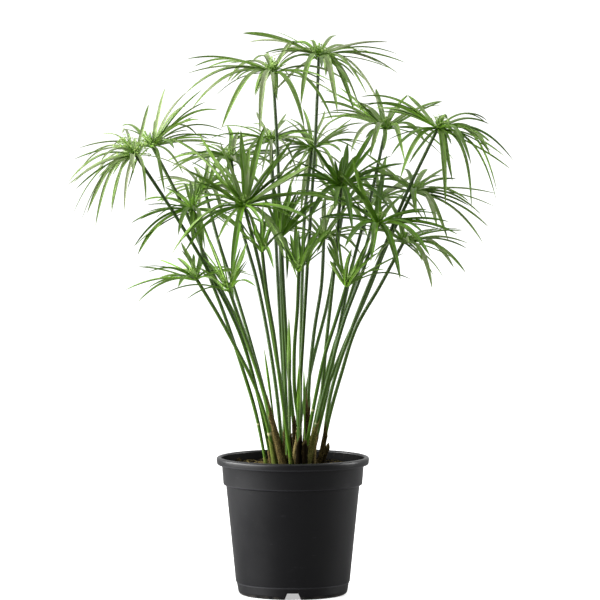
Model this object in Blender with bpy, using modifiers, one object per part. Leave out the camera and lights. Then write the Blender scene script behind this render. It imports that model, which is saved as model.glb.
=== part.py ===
"""Potted umbrella sedge: a clump of green culms with umbrella crowns in a round nursery pot.

Units are metres, +Z is up, -Y is the front, and the origin is the middle of the pot's underside.
The tables below are in millimetres. A place in them is (across, up), as seen in the front view
against the upright plane through the pot's axis, and a depth, away from the viewer when positive.
"""

import math

import bmesh
import bpy
from mathutils import Matrix, Quaternion, Vector
from mathutils.bvhtree import BVHTree

MM = 0.001
GAP = 0.3 * MM

# The front view: eye distance from the pot's axis, eye height and eye position across
VIEW_DISTANCE = 6.0
VIEW_HEIGHT = 0.754
VIEW_ACROSS = 0.007

# Pot
RIM_HEIGHT = 138.8 * MM
LIP_RADIUS = 76.8 * MM
LIP_BOTTOM = 131.2 * MM
MOUTH_RADIUS = 72.0 * MM
COLLAR_TOP_RADIUS = 71.4 * MM
COLLAR_BOTTOM_RADIUS = 69.9 * MM
COLLAR_BOTTOM = 111.0 * MM
BODY_TOP_RADIUS = 67.1 * MM
GROOVE_HEIGHT = 12.6 * MM
BODY_LOW_RADIUS = 57.4 * MM
FOOT_TOP_RADIUS = 56.5 * MM
FOOT_CORNER_RADIUS = 5.2 * MM
FOOT_OUTER_RADIUS = 50.7 * MM
FOOT_INNER_RADIUS = 47.0 * MM
WALL = 1.9 * MM
FLOOR_UNDERSIDE = 7.6 * MM
FLOOR_TOP = 9.6 * MM
NOTCH_WIDTH_LOW = 17.0 * MM
NOTCH_WIDTH_HIGH = 10.5 * MM
NOTCH_HEIGHT = 7.0 * MM
NOTCH_COUNT = 4
ROUND_STEPS = 32

# Soil and rhizome
SOIL_EDGE_HEIGHT = 127.6 * MM
SOIL_MOUND_HEIGHT = 129.4 * MM
RHIZOME_RADIUS = 34.0 * MM
RHIZOME_BOTTOM = 121.0 * MM
RHIZOME_TOP = 130.6 * MM

# Culms
CULM_RADIUS = 2.15 * MM
CULM_TOP_RADIUS = 1.75 * MM
CULM_FOOT_RADIUS = 3.0 * MM
SHEATH_TOP = 60.0 * MM
CULM_SEGMENTS = 5

# Crowns
HUB_RADIUS = 3.6 * MM
HUB_HEIGHT = 3.4 * MM
HUB_DOME = 5.0 * MM
BRACT_KEEL = 0.9 * MM
BRACT_STATIONS = ((0.16, 0.66), (0.48, 1.0), (0.79, 0.66))
FAR_STATIONS = ((0.2, 0.76), (0.66, 0.88))
FAR_CROWNS = (8, 12, 14, 20, 21, 22, 23, 24, 25)

# Where a bract would touch another stem or crown it takes the first clear one of these:
# (swing round the hub in degrees, lift of the tip in mm, share of its length)
CLEAR_STEPS = (
    (0, 0, 1.0),
    (5, 0, 1.0),
    (-5, 0, 1.0),
    (0, 6, 1.0),
    (0, -6, 1.0),
    (10, 3, 1.0),
    (-10, 3, 1.0),
    (10, -5, 1.0),
    (-10, -5, 1.0),
    (17, 0, 0.96),
    (-17, 0, 0.96),
    (24, 6, 0.92),
    (-24, 6, 0.92),
    (32, -4, 0.9),
    (-32, -4, 0.9),
    (0, 14, 0.85),
    (0, 0, 0.7),
    (12, 6, 0.6),
    (-12, 6, 0.6),
    (0, 3, 0.45),
)
CLEARANCE = 0.45 * MM

# Each plant stem: foot (across, depth) on the rhizome, then (across, up) points to its crown
STEMS = {
    1: ((-5, 0), ((-7, 195), (-11, 295), (-15, 436))),
    2: ((2, 8), ((8, 225), (16, 356), (22, 451))),
    3: ((22, 14), ((44, 255), (60, 333), (82, 416))),
    4: ((29, 0), ((42, 225), (62, 275), (92, 351), (117, 411))),
    5: ((-17, 13), ((-30, 205), (-51, 265), (-81, 325), (-117, 406))),
    6: ((-21, 5), ((-35, 200), (-50, 255), (-79, 315), (-108, 366))),
    7: ((-27, -3), ((-39, 190), (-50, 225), (-61, 260), (-81, 315), (-93, 349))),
    8: ((-9, -17), ((-25, 190), (-37, 230), (-53, 275))),
    9: ((-18, -12), ((-29, 185), (-45, 225), (-62, 257), (-77, 285))),
    10: ((-3, -9), ((-10, 210), (-17, 240), (-28, 305), (-37, 346))),
    11: ((-10, 18), ((-16, 200), (-22, 240), (-31, 295), (-46, 351), (-54, 381))),
    12: ((-1, -24), ((-13, 215), (-18, 255), (-25, 295))),
    13: ((5, -4), ((-1, 190), (-4, 220), (-6, 250), (-9, 300))),
    14: ((4, -15), ((1, 230), (5, 295))),
    15: ((7, 21), ((8, 255), (10, 335), (14, 416))),
    16: ((15, 3), ((32, 245), (40, 315), (44, 356))),
    17: ((14, -10), ((28, 190), (34, 215), (46, 255), (57, 295), (73, 333))),
    18: ((23, 6), ((29, 190), (36, 210), (47, 240), (60, 270), (82, 320), (102, 371))),
    19: ((27, -8), ((32, 155), (39, 190), (51, 230), (64, 270), (87, 310))),
    20: ((10, -22), ((21, 190), (31, 237), (37, 257), (46, 285))),
    21: ((0, 30), ((7, 171), (15, 215), (25, 255), (37, 305))),
    22: ((13, 11), ((16, 210), (19, 240), (22, 270), (29, 315))),
    23: ((-9, 27), ((-9, 200), (-14, 295), (-19, 396))),
    24: ((15, 20), ((29, 205), (43, 255), (59, 305), (75, 356))),
    25: ((-19, 21), ((-27, 195), (-43, 255), (-61, 315), (-78, 366))),
}

# Each crown: hub (across, up), depth, reach of a bract, full bract width, then its bracts as
# (tip across and up from the hub, rise of the arc at its middle, share of the reach in depth)
CROWNS = {
    1: ((-20, 525), -8, 98, 6.2, (
        (-87, 13, 9, -0.4), (-88, -22, 15, -0.7), (-82, -38, 16, -1), (-52, -58, 20, -1),
        (-13, -63, 22, -1), (32, -58, 16, -1), (61, -51, 18, -0.8), (78, -12, 12, 0.4),
        (-46, -11, 17, 0.9), (-80, 5, 12, 1), (4, -27, 14, 1), (-11, 16, 8, 0.8), (50, 8, 14, 1),
    )),
    2: ((26, 542), 25, 98, 6.0, (
        (-77, 22, 6, -0.3), (-42, -4, 16, 0.9), (-18, -51, 18, -1), (19, -59, 18, -1),
        (36, -58, 20, -0.8), (72, 13, 6, 0.5), (88, -8, 8, -0.3), (80, -19, 11, 0.6),
        (67, -64, 22, -0.8), (49, -41, 16, -1), (7, -22, 12, 1), (-71, 13, 8, 0.8),
        (-55, -30, 20, 1),
    )),
    3: ((93, 469), 60, 92, 6.0, (
        (-62, 39, 6, 0.3), (-67, 26, 8, -0.3), (-48, 42, 4, 1), (-65, 9, 8, 1), (22, 34, 4, 0.9),
        (57, 27, 4, 0.7), (-35, -25, 14, -1), (-16, -30, 16, -1), (69, -33, 12, 0.3),
        (20, -38, 16, -1), (-10, 40, 2, 1), (40, -15, 12, 1),
    )),
    4: ((145, 469), -15, 92, 6.2, (
        (8, -78, 18, -1), (34, -83, 18, -0.6), (59, -73, 15, -0.5), (60, -65, 21, 0.4),
        (77, -34, 12, 0.4), (52, 4, 9, 1), (53, -27, 12, 1), (34, -38, 14, -1),
        (-38, -53, 9, -1), (-47, -28, 7, -1), (-30, 33, 3, 1), (-78, 31, 13, 0.4),
        (-76, 24, 10, -0.3),
    )),
    5: ((-141, 451), 45, 92, 6.0, (
        (51, 57, 7, 0.4), (67, 36, 12, -0.4), (74, 14, 14, 0.5), (46, 10, 17, 1), (3, 26, 4, 1),
        (32, -29, 8, -1), (13, -48, 12, -1), (36, 55, 8, 0.8), (-40, -30, 14, 1),
        (-30, 20, 10, 1), (-25, -45, 16, 0.8),
    )),
    6: ((-158, 443), -30, 92, 6.2, (
        (-33, 20, 8, 1), (-13, 20, 14, 1), (14, 50, 4, 0.8), (-50, -4, 11, 0.8), (-57, -19, 14, 1),
        (-64, -31, 6, -0.4), (-63, -62, 11, -0.3), (-56, -68, 12, -0.6), (-40, -74, 16, -1),
        (-24, -61, 14, 0.6), (-24, -50, 10, -0.5), (-11, -59, 14, -1), (11, -50, 12, -1),
        (-42, -25, 10, 1),
    )),
    7: ((-100, 388), 10, 82, 5.6, (
        (-63, -15, 6, -0.4), (-60, -39, 8, -0.5), (-56, -47, 8, -0.8), (-3, 28, 2, 1),
        (10, 27, 3, 0.6), (-28, 22, 3, 0.9), (59, -35, 8, -0.6), (-15, -27, 10, -1),
        (12, -42, 12, -1), (42, 0, 10, 1), (-50, 8, 8, 1),
    )),
    8: ((-64, 307), -60, 78, 5.4, (
        (-22, 55, 2, 0.9), (16, 45, 2, 0.9), (27, 3, 9, -0.9), (5, -9, 10, -1), (-29, 28, 2, 1),
        (-64, -4, 8, -0.3), (-43, -10, 8, -0.9), (-32, 18, 3, 0.7), (18, 30, 3, -0.9),
    )),
    9: ((-97, 318), -25, 80, 5.2, (
        (-59, 12, 4, -0.4), (-37, 19, 3, 0.9), (-19, 21, 4, 0.9), (-15, 37, 1, 0.6),
        (4, 30, 3, 0.9), (-72, -12, 7, 0.3), (-59, -24, 10, 0.8), (-18, -9, 8, -1),
        (-49, 6, 9, -0.9), (30, 10, 6, 0.9), (30, -14, 8, -0.9),
    )),
    10: ((-49, 392), -75, 100, 7.0, (
        (-46, 73, 2, -0.5), (-77, 68, 13, -0.2), (-59, 36, 4, -0.6), (-68, -41, 10, -0.5),
        (-61, -51, 11, -0.8), (-13, -74, 14, -1), (54, -79, 17, -0.5), (66, -14, 6, -0.7),
        (101, 0, 12, -0.1), (66, 47, 2, 0.3), (66, 39, 2, -0.4), (52, 69, 2, 0.3),
        (-3, 76, 0, 0.6), (21, 80, 0, 0.6),
    )),
    11: ((-62, 438), 85, 85, 5.4, (
        (-60, -8, 8, 1), (-62, -14, 10, 0.6), (-45, 0, 8, -0.5), (-20, 14, 6, 1), (8, 28, 3, 0.8),
        (50, 18, 6, 0.8), (45, -10, 10, -0.5), (-25, -35, 14, -1), (20, -40, 14, -1),
        (60, 2, 8, 0.6), (-4, 34, 2, 1),
    )),
    12: ((-31, 347), -108, 72, 5.2, (
        (13, 28, 2, 0.2), (3, 30, 2, 0.6), (-15, 42, 2, 0.3), (-24, 30, 3, -0.1),
        (-20, 12, 4, -0.4), (-6, 26, 2, -0.5), (12, -20, 12, -0.96), (9, 24, 2, -0.3),
        (22, 18, 4, -0.1),
    )),
    13: ((-12, 361), -40, 75, 5.6, (
        (29, 32, 2, -0.6), (35, 42, 2, 0.6), (52, 35, 3, 0.4), (-38, 22, 4, 0.7),
        (-24, 30, 3, -0.4), (-14, 22, 3, -0.7), (6, -46, 12, -0.7), (27, 15, 4, 0.9),
        (-10, 44, 2, 0.8), (5, 38, 2, -0.8),
    )),
    14: ((6, 327), -95, 72, 5.2, (
        (-16, 28, 3, 0.9), (-9, 36, 2, 0.7), (-2, 50, 0, 0.8), (5, 46, 0, -0.6), (26, 53, 0, -0.4),
        (43, 56, 0, 0.3), (-15, 24, 3, -0.5), (14, 27, 3, -0.6), (-27, 38, 2, 0.3), (16, 36, 2, 0.6),
    )),
    15: ((20, 449), 90, 85, 5.2, (
        (36, 22, 2, 0.6), (40, 30, 2, 0.4), (-30, 30, 4, 0.8), (-50, 10, 8, 0.7),
        (-45, -14, 12, -0.5), (45, -4, 10, -0.6), (12, 38, 2, 1), (-10, 40, 2, 1),
        (25, -35, 12, -1), (-18, -38, 12, -1), (52, 8, 8, 0.9),
    )),
    16: ((48, 411), -15, 85, 6.6, (
        (7, 43, 2, 0.8), (-32, 45, 4, -0.8), (62, 22, 6, -0.4), (-31, -33, 10, -1),
        (-48, 26, 4, -0.4), (-50, 8, 8, 0.6), (50, -24, 12, -0.8), (12, -46, 14, -1),
        (36, 46, 2, 0.5), (34, 57, 2, -0.5), (54, 10, 5, 0.8),
    )),
    17: ((86, 374), -55, 92, 6.8, (
        (-39, 52, 3, -0.8), (-27, 67, 0, -0.6), (4, 50, 2, 0.9), (33, 32, 4, 0.9),
        (71, 1, 6, -0.3), (80, -12, 8, -0.6), (49, 13, 5, 1), (-34, -25, 10, -1),
        (22, -58, 14, -0.8), (-8, -40, 14, -1), (-61, 4, 6, 0.4), (-52, 30, 4, 0.6),
        (52, -34, 12, -0.9),
    )),
    18: ((120, 406), 20, 85, 6.0, (
        (15, 22, 4, 0.9), (30, 25, 3, 0.8), (44, 12, 6, 0.6), (57, -11, 9, -0.2),
        (70, -25, 10, 0.4), (77, -37, 6, 0.3), (71, -53, 8, -0.3), (36, -51, 14, -0.9),
        (25, -38, 12, 1), (4, -25, 12, -1), (-45, 25, 4, 0.8), (-50, 40, 2, 0.5),
        (-38, 8, 8, -0.8),
    )),
    19: ((111, 355), -35, 80, 5.6, (
        (32, 13, 4, 0.9), (66, -2, 8, -0.2), (64, -7, 8, 0.5), (63, -32, 12, -0.4),
        (51, -27, 14, 0.9), (29, -48, 14, -0.9), (19, -17, 8, -1), (-36, 10, 6, -0.8),
        (-30, -22, 10, -1), (-10, 36, 2, 0.9), (-44, 26, 3, 0.6),
    )),
    20: ((54, 312), -100, 75, 5.4, (
        (-20, 40, 2, 0.8), (-12, 63, 0, 0.5), (1, 29, 4, 0.9), (26, 47, 2, -0.5), (33, 33, 3, 0.7),
        (58, 32, 3, 0.3), (65, 5, 10, 0.3), (-17, 24, 3, -0.5), (5, 36, 2, -0.6),
        (22, 24, 3, -0.6), (38, 15, 6, -0.5),
    )),
    21: ((51, 393), 107, 80, 5.2, (
        (-30, 30, 4, 0.8), (30, 34, 4, 0.8), (50, 8, 8, 0.6), (-52, 4, 8, 0.5),
        (-20, -34, 12, 0.8), (24, -34, 12, 1), (4, 44, 2, 1), (44, -16, 12, -0.5),
        (-42, -16, 12, 1),
    )),
    22: ((31, 359), 15, 70, 5.2, (
        (-26, 28, 3, 0.7), (24, 32, 3, 0.7), (44, 6, 8, -0.5), (-42, 4, 8, -0.5),
        (-16, -32, 10, -1), (16, -30, 10, -1), (2, 42, 2, -0.6), (38, -18, 10, 0.9),
        (-36, -16, 10, 0.9),
    )),
    23: ((-22, 456), 99, 85, 5.2, (
        (-62, 2, 8, 0.4), (-50, 14, 8, 0.9), (-56, -14, 12, 0.8), (50, 16, 6, 0.8),
        (60, -2, 10, 0.4), (48, -20, 12, 0.9), (-14, 30, 4, 1), (16, 28, 4, 1),
        (-30, -34, 14, -0.8), (28, -34, 14, -0.9), (0, -40, 14, -1),
    )),
    24: ((86, 398), 95, 80, 5.2, (
        (-50, 16, 6, 0.6), (-30, 36, 3, 0.9), (8, 44, 2, 1), (42, 26, 4, 0.8), (54, -2, 10, 0.5),
        (-48, -14, 12, 0.8), (-20, -36, 12, -0.8), (26, -34, 12, -0.8), (46, -22, 12, 1),
    )),
    25: ((-89, 409), 103, 75, 5.0, (
        (-50, 6, 8, 0.6), (-30, 26, 4, 0.9), (4, 34, 3, 1), (34, 24, 4, 0.8), (48, 0, 8, 0.5),
        (-44, -16, 10, 0.9), (-16, -32, 10, -0.8), (20, -32, 10, -0.8), (40, -18, 10, 1),
    )),
}

# Young shoots: foot (across, depth), tip (across, up), depth of the tip, radius
SHOOTS = {
    1: ((-3, -17), (-4, 281), -34, 2.3),
    2: ((-14, 5), (-29, 249), 12, 1.5),
    3: ((6, -31), (6, 232), -40, 2.4),
    4: ((12, -31), (11, 228), -42, 1.4),
    5: ((29, -17), (36, 153), -22, 2.6),
}

COLOURS = {
    "pot_plastic": ((0.028, 0.028, 0.031, 1), 0.42),
    "soil": ((0.065, 0.042, 0.028, 1), 0.95),
    "rhizome": ((0.16, 0.10, 0.055, 1), 0.9),
    "culm": ((0.045, 0.11, 0.022, 1), 0.45),
    "bract": ((0.075, 0.2, 0.03, 1), 0.5),
    "shoot": ((0.13, 0.27, 0.035, 1), 0.5),
}


def clear_scene():
    for obj in list(bpy.data.objects):
        bpy.data.objects.remove(obj, do_unlink=True)


def new_collection(name):
    made = bpy.data.collections.new(name)
    bpy.context.scene.collection.children.link(made)
    return made


def make_material(name):
    colour, roughness = COLOURS[name]
    material = bpy.data.materials.new(name)
    material.use_nodes = True
    shader = material.node_tree.nodes["Principled BSDF"]
    shader.inputs["Base Color"].default_value = colour
    shader.inputs["Roughness"].default_value = roughness
    shader.inputs["Metallic"].default_value = 0.0
    material.diffuse_color = colour
    return material


def add_object(name, data, collection, material):
    obj = bpy.data.objects.new(name, data)
    collection.objects.link(obj)
    data.materials.append(material)
    return obj


def seen_at(across, up, depth):
    """The point at a depth that covers (across, up) of the pot's middle plane in the front view."""
    spread = 1 + depth * MM / VIEW_DISTANCE
    x = VIEW_ACROSS + (across * MM - VIEW_ACROSS) * spread
    z = VIEW_HEIGHT + (up * MM - VIEW_HEIGHT) * spread
    return Vector((x, depth * MM, z))


def lathe(name, profile, collection, material, steps):
    """A turned solid: the profile's (radius, height) points, carried once round +Z."""
    mesh = bpy.data.meshes.new(name)
    points = [(radius, 0, height) for radius, height in profile]
    mesh.from_pydata(points, [(i, i + 1) for i in range(len(points) - 1)], [])
    obj = add_object(name, mesh, collection, material)
    screw = obj.modifiers.new("turn", "SCREW")
    screw.steps = steps
    screw.render_steps = steps
    screw.use_merge_vertices = True
    screw.merge_threshold = 0.00001
    screw.use_smooth_shade = True
    return obj


def arc(centre, radius, start, end, count):
    """Points on an arc in the (radius, height) plane, from start to end degrees."""
    turns = [math.radians(start + (end - start) * i / (count - 1)) for i in range(count)]
    return [(centre[0] + radius * math.cos(a), centre[1] + radius * math.sin(a)) for a in turns]


def make_pot(collection, cutters):
    corner = (FOOT_TOP_RADIUS - 0.3 * MM - FOOT_CORNER_RADIUS, FOOT_CORNER_RADIUS)
    inner_side = [
        (0, FLOOR_TOP),
        (FOOT_OUTER_RADIUS, FLOOR_TOP),
        (BODY_LOW_RADIUS - WALL - 0.6 * MM, GROOVE_HEIGHT),
        (BODY_TOP_RADIUS - WALL, COLLAR_BOTTOM - 2 * MM),
        (COLLAR_BOTTOM_RADIUS - WALL, COLLAR_BOTTOM + 2 * MM),
        (COLLAR_TOP_RADIUS - WALL, LIP_BOTTOM),
        (MOUTH_RADIUS, RIM_HEIGHT - 1.6 * MM),
    ]
    lip = [
        (MOUTH_RADIUS + 1.3 * MM, RIM_HEIGHT),
        (LIP_RADIUS - 1.3 * MM, RIM_HEIGHT - 0.2 * MM),
        (LIP_RADIUS, RIM_HEIGHT - 1.8 * MM),
        (LIP_RADIUS - 0.1 * MM, LIP_BOTTOM + 1.0 * MM),
        (LIP_RADIUS - 1.0 * MM, LIP_BOTTOM),
        (COLLAR_TOP_RADIUS, LIP_BOTTOM),
    ]
    wall = [
        (COLLAR_BOTTOM_RADIUS, COLLAR_BOTTOM + 1.0 * MM),
        (COLLAR_BOTTOM_RADIUS - 0.8 * MM, COLLAR_BOTTOM),
        (BODY_TOP_RADIUS, COLLAR_BOTTOM - 0.6 * MM),
        (BODY_LOW_RADIUS, GROOVE_HEIGHT + 0.5 * MM),
        (FOOT_TOP_RADIUS, GROOVE_HEIGHT - 0.3 * MM),
    ]
    foot = arc(corner, FOOT_CORNER_RADIUS, 0, -90, 4) + [
        (FOOT_INNER_RADIUS, 0),
        (FOOT_INNER_RADIUS - 0.6 * MM, FLOOR_UNDERSIDE),
        (0, FLOOR_UNDERSIDE),
    ]
    material = make_material("pot_plastic")
    pot = lathe("pot", inner_side + lip + wall + foot, collection, material, ROUND_STEPS)
    for index in range(NOTCH_COUNT):
        cutter = notch_cutter(f"notch_cutter_{index + 1}", cutters)
        cutter.rotation_euler = (0, 0, math.tau * index / NOTCH_COUNT)
        cut = pot.modifiers.new(f"notch {index + 1}", "BOOLEAN")
        cut.operation = "DIFFERENCE"
        cut.object = cutter
    return pot


def notch_cutter(name, cutters):
    """A wedge, wide at the bottom, that passes through the foot ring on the -Y side."""
    low = -2 * MM
    mesh = bpy.data.meshes.new(name)
    bm = bmesh.new()
    bmesh.ops.create_cube(bm, size=1)
    slope = (NOTCH_WIDTH_LOW - NOTCH_WIDTH_HIGH) / NOTCH_HEIGHT
    for vert in bm.verts:
        height = NOTCH_HEIGHT if vert.co.z > 0 else low
        width = NOTCH_WIDTH_LOW - slope * height
        vert.co.x = math.copysign(width / 2, vert.co.x)
        vert.co.y = -LIP_RADIUS if vert.co.y < 0 else -FOOT_INNER_RADIUS + 4 * MM
        vert.co.z = height
    upright = [e for e in bm.edges if abs(e.verts[0].co.y - e.verts[1].co.y) > 10 * MM]
    top = [e for e in upright if e.verts[0].co.z > 0]
    bmesh.ops.bevel(bm, geom=top, offset=1.6 * MM, segments=2, affect="EDGES", profile=0.5)
    bmesh.ops.recalc_face_normals(bm, faces=bm.faces)
    bm.to_mesh(mesh)
    bm.free()
    cutter = bpy.data.objects.new(name, mesh)
    cutters.objects.link(cutter)
    cutter.hide_render = True
    cutter.display_type = "WIRE"
    return cutter


def make_soil(collection):
    """Fills the pot's inside below the mound, with a round seat for the rhizome."""
    seat = RHIZOME_RADIUS + GAP
    room = WALL + 1.5 * GAP
    profile = [
        (0, RHIZOME_BOTTOM - GAP),
        (seat, RHIZOME_BOTTOM - GAP),
        (seat, SOIL_MOUND_HEIGHT),
        (50 * MM, SOIL_MOUND_HEIGHT - 0.6 * MM),
        (COLLAR_TOP_RADIUS - room - 0.2 * MM, SOIL_EDGE_HEIGHT),
        (COLLAR_BOTTOM_RADIUS - room, COLLAR_BOTTOM + 2 * MM),
        (BODY_TOP_RADIUS - room, COLLAR_BOTTOM - 2 * MM),
        (BODY_LOW_RADIUS - room - 0.6 * MM, GROOVE_HEIGHT + GAP),
        (FOOT_OUTER_RADIUS - 2 * GAP, FLOOR_TOP + GAP),
        (0, FLOOR_TOP + GAP),
    ]
    return lathe("soil", profile, collection, make_material("soil"), ROUND_STEPS)


def make_rhizome(collection):
    profile = [
        (0, RHIZOME_TOP),
        (RHIZOME_RADIUS - 2.5 * MM, RHIZOME_TOP),
        (RHIZOME_RADIUS, RHIZOME_TOP - 2.2 * MM),
        (RHIZOME_RADIUS, RHIZOME_BOTTOM),
        (0, RHIZOME_BOTTOM),
    ]
    return lathe("rhizome", profile, collection, make_material("rhizome"), ROUND_STEPS)


def stem_nodes(number):
    """The stem's own points from its foot to just under the hub, depth growing with height."""
    (foot_across, foot_depth), middle = STEMS[number]
    (hub_across, hub_up), hub_depth = CROWNS[number][:2]
    foot_up = (RHIZOME_TOP + GAP) / MM
    points = []
    for across, up in ((foot_across, foot_up),) + middle + ((hub_across, hub_up),):
        share = ((up - foot_up) / (hub_up - foot_up)) ** 1.3
        points.append(seen_at(across, up, foot_depth + (hub_depth - foot_depth) * share))
    points[0] = Vector((foot_across * MM, foot_depth * MM, RHIZOME_TOP + GAP))
    return points


def smooth_path(points, share):
    """The point at a share of the way along a curve that passes through all the points."""
    place = share * (len(points) - 1)
    index = min(int(place), len(points) - 2)
    t = place - index
    before = points[index - 1] if index > 0 else 2 * points[0] - points[1]
    after = points[index + 2] if index + 2 < len(points) else 2 * points[-1] - points[-2]
    a, b = points[index], points[index + 1]
    return 0.5 * (
        2 * a
        + (b - before) * t
        + (2 * before - 5 * a + 4 * b - after) * t * t
        + (3 * a - before - 3 * b + after) * t * t * t
    )


def stem_path(number):
    """Evenly spaced points from the foot to the hub's underside, with the crown's axis."""
    points = stem_nodes(number)
    fine = [smooth_path(points, i / 40) for i in range(41)]
    axis = (fine[-1] - fine[-5]).normalized()
    end = fine[-1] - axis * (HUB_HEIGHT / 2 + GAP)
    fine = [p for p in fine if p.z < end.z - 4 * MM] + [end]
    lengths = [0.0]
    for a, b in zip(fine, fine[1:]):
        lengths.append(lengths[-1] + (b - a).length)
    path = []
    for i in range(CULM_SEGMENTS + 1):
        wanted = lengths[-1] * i / CULM_SEGMENTS
        k = next(j for j in range(1, len(fine)) if lengths[j] >= wanted - 1e-9)
        part = (wanted - lengths[k - 1]) / (lengths[k] - lengths[k - 1])
        path.append(fine[k - 1].lerp(fine[k], part))
    return stood_up(path, CULM_FOOT_RADIUS), axis


def stood_up(path, radius):
    """Lifts the first point so that the slanting end of a stalk stays above the rhizome."""
    along = (path[1] - path[0]).normalized()
    return [path[0] + Vector((0, 0, radius * along.xy.length))] + path[1:]


def round_stalk(name, path, radii, sides, collection, material):
    """A tube through the path's points with a radius at each, and closed ends."""
    curve = bpy.data.curves.new(name, "CURVE")
    curve.dimensions = "3D"
    curve.bevel_depth = 1.0
    curve.bevel_resolution = (sides - 4) // 2
    curve.use_fill_caps = True
    spline = curve.splines.new("POLY")
    spline.points.add(len(path) - 1)
    for point, place, radius in zip(spline.points, path, radii):
        point.co = (*place, 1)
        point.radius = radius
    spline.use_smooth = True
    return add_object(name, curve, collection, material)


def culm_radius(height):
    """Thick in the basal sheaths, then a slow taper to the crown."""
    above = height - RHIZOME_TOP
    sheath = max(0.0, 1 - above / SHEATH_TOP)
    taper = min(1.0, above / 0.4)
    return CULM_RADIUS + (CULM_TOP_RADIUS - CULM_RADIUS) * taper + (CULM_FOOT_RADIUS - CULM_RADIUS) * sheath


def make_stem(number, collection, material):
    path, _ = stem_path(number)
    radii = [culm_radius(p.z) for p in path]
    return round_stalk(f"stem_{number:02d}", path, radii, 6, collection, material)


def make_shoot(number, collection, material):
    (foot_across, foot_depth), (tip_across, tip_up), tip_depth, radius = SHOOTS[number]
    foot = Vector((foot_across * MM, foot_depth * MM, RHIZOME_TOP + GAP))
    tip = seen_at(tip_across, tip_up, tip_depth)
    shares = (0, 0.3, 0.65, 0.9, 1)
    widths = (1.1, 1.0, 0.85, 0.5, 0.12)
    path = stood_up([foot.lerp(tip, s) for s in shares], 1.3 * radius * MM)
    radii = [radius * MM * w for w in widths]
    return round_stalk(f"shoot_{number}", path, radii, 4, collection, material)


def bract_tip(hub, depth, reach, bract, step):
    """Where a bract ends, after one of the clear steps."""
    across, up, _, facing = bract
    swing, lift, share = step
    room = max(reach * reach - across * across - up * up, 64.0)
    offset = seen_at(hub[0] + across, hub[1] + up, depth + facing * math.sqrt(room))
    offset -= seen_at(*hub, depth)
    offset.z += lift * MM
    offset.rotate(Quaternion((0, 0, 1), math.radians(swing)))
    return seen_at(*hub, depth) + offset * share


def blade_rings(root, tip, rise, width, stations):
    """Three corners at each station of a bract: left and right edge, and the keel below."""
    control = (root + tip) / 2 + Vector((0, 0, 2 * rise * MM))
    flat = Vector((tip.x - root.x, tip.y - root.y, 0))
    side = Vector((-flat.y, flat.x, 0)).normalized()
    rings = []
    for t, wide in stations:
        middle = root * (1 - t) ** 2 + control * 2 * t * (1 - t) + tip * t * t
        along = ((control - root) * (1 - t) + (tip - control) * t).normalized()
        below = along.cross(side).normalized()
        if below.z > 0:
            below = -below
        half = side * (width * MM / 2 * wide)
        rings.append((middle + half, middle - half, middle + below * BRACT_KEEL))
    return rings


def root_ring(root, rings):
    """A narrow section of the blade where it leaves the hub."""
    half = (rings[0][0] - rings[0][1]).normalized() * MM
    return (root + half, root - half, root - Vector((0, 0, MM)))


def fattened(rings, tip, room):
    """The blade with room added all round it, as points and triangles for a touch test."""
    points = []
    for left, right, keel in rings:
        side = (left - right).normalized() * room
        below = (keel - (left + right) / 2).normalized() * room
        points += [left + side - below, right - side - below, keel + below]
    points.append(tip + (tip - (rings[-1][0] + rings[-1][1]) / 2).normalized() * room)
    triangles = []
    for ring in range(len(rings) - 1):
        for corner in range(3):
            a, b = 3 * ring + corner, 3 * ring + (corner + 1) % 3
            triangles += [(a, b, b + 3), (a, b + 3, a + 3)]
    last = 3 * len(rings) - 3
    triangles += [(last + c, last + (c + 1) % 3, len(points) - 1) for c in range(3)]
    return points, triangles


def tree_of(pieces):
    """One search tree of several (points, triangles) pieces."""
    points = []
    triangles = []
    for some_points, some_triangles in pieces:
        start = len(points)
        points += some_points
        triangles += [tuple(start + i for i in t) for t in some_triangles]
    return BVHTree.FromPolygons(points, triangles) if triangles else None


def stalk_shell(obj):
    """The points and triangles of a stalk's finished surface."""
    mesh = obj.evaluated_get(bpy.context.evaluated_depsgraph_get()).to_mesh()
    mesh.calc_loop_triangles()
    points = [v.co.copy() for v in mesh.vertices]
    triangles = [tuple(t.vertices) for t in mesh.loop_triangles]
    return points, triangles


def hub_frame(number):
    """The hub's matrix: its own z along the end of the culm."""
    (across, up), depth = CROWNS[number][:2]
    _, axis = stem_path(number)
    turn = axis.to_track_quat("Z", "Y").to_matrix().to_4x4()
    return Matrix.Translation(seen_at(across, up, depth)) @ turn


def hub_room(number):
    """A closed double pyramid round the hub and its dome, for a touch test."""
    frame = hub_frame(number)
    reach = HUB_RADIUS + 3 * CLEARANCE
    ring = [(reach, 0, 0), (0, reach, 0), (-reach, 0, 0), (0, -reach, 0)]
    ends = [(0, 0, HUB_HEIGHT / 2 + HUB_DOME + reach), (0, 0, -HUB_HEIGHT)]
    points = [frame @ Vector(p) for p in ring + ends]
    triangles = [(i, (i + 1) % 4, end) for i in range(4) for end in (4, 5)]
    return points, triangles


def start_hub(count):
    """A short many-sided cone whose sides are split in two, with a low dome on top."""
    bm = bmesh.new()
    bmesh.ops.create_cone(
        bm,
        cap_ends=True,
        segments=count,
        radius1=HUB_RADIUS * 0.72,
        radius2=HUB_RADIUS,
        depth=HUB_HEIGHT,
    )
    top = max(bm.faces, key=lambda f: f.calc_center_median().z)
    dome = bmesh.ops.poke(bm, faces=[top])
    dome["verts"][0].co.z += HUB_DOME
    sides = [f for f in bm.faces if len(f.verts) == 4]
    bmesh.ops.triangulate(bm, faces=sides, quad_method="FIXED")
    return bm


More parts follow.
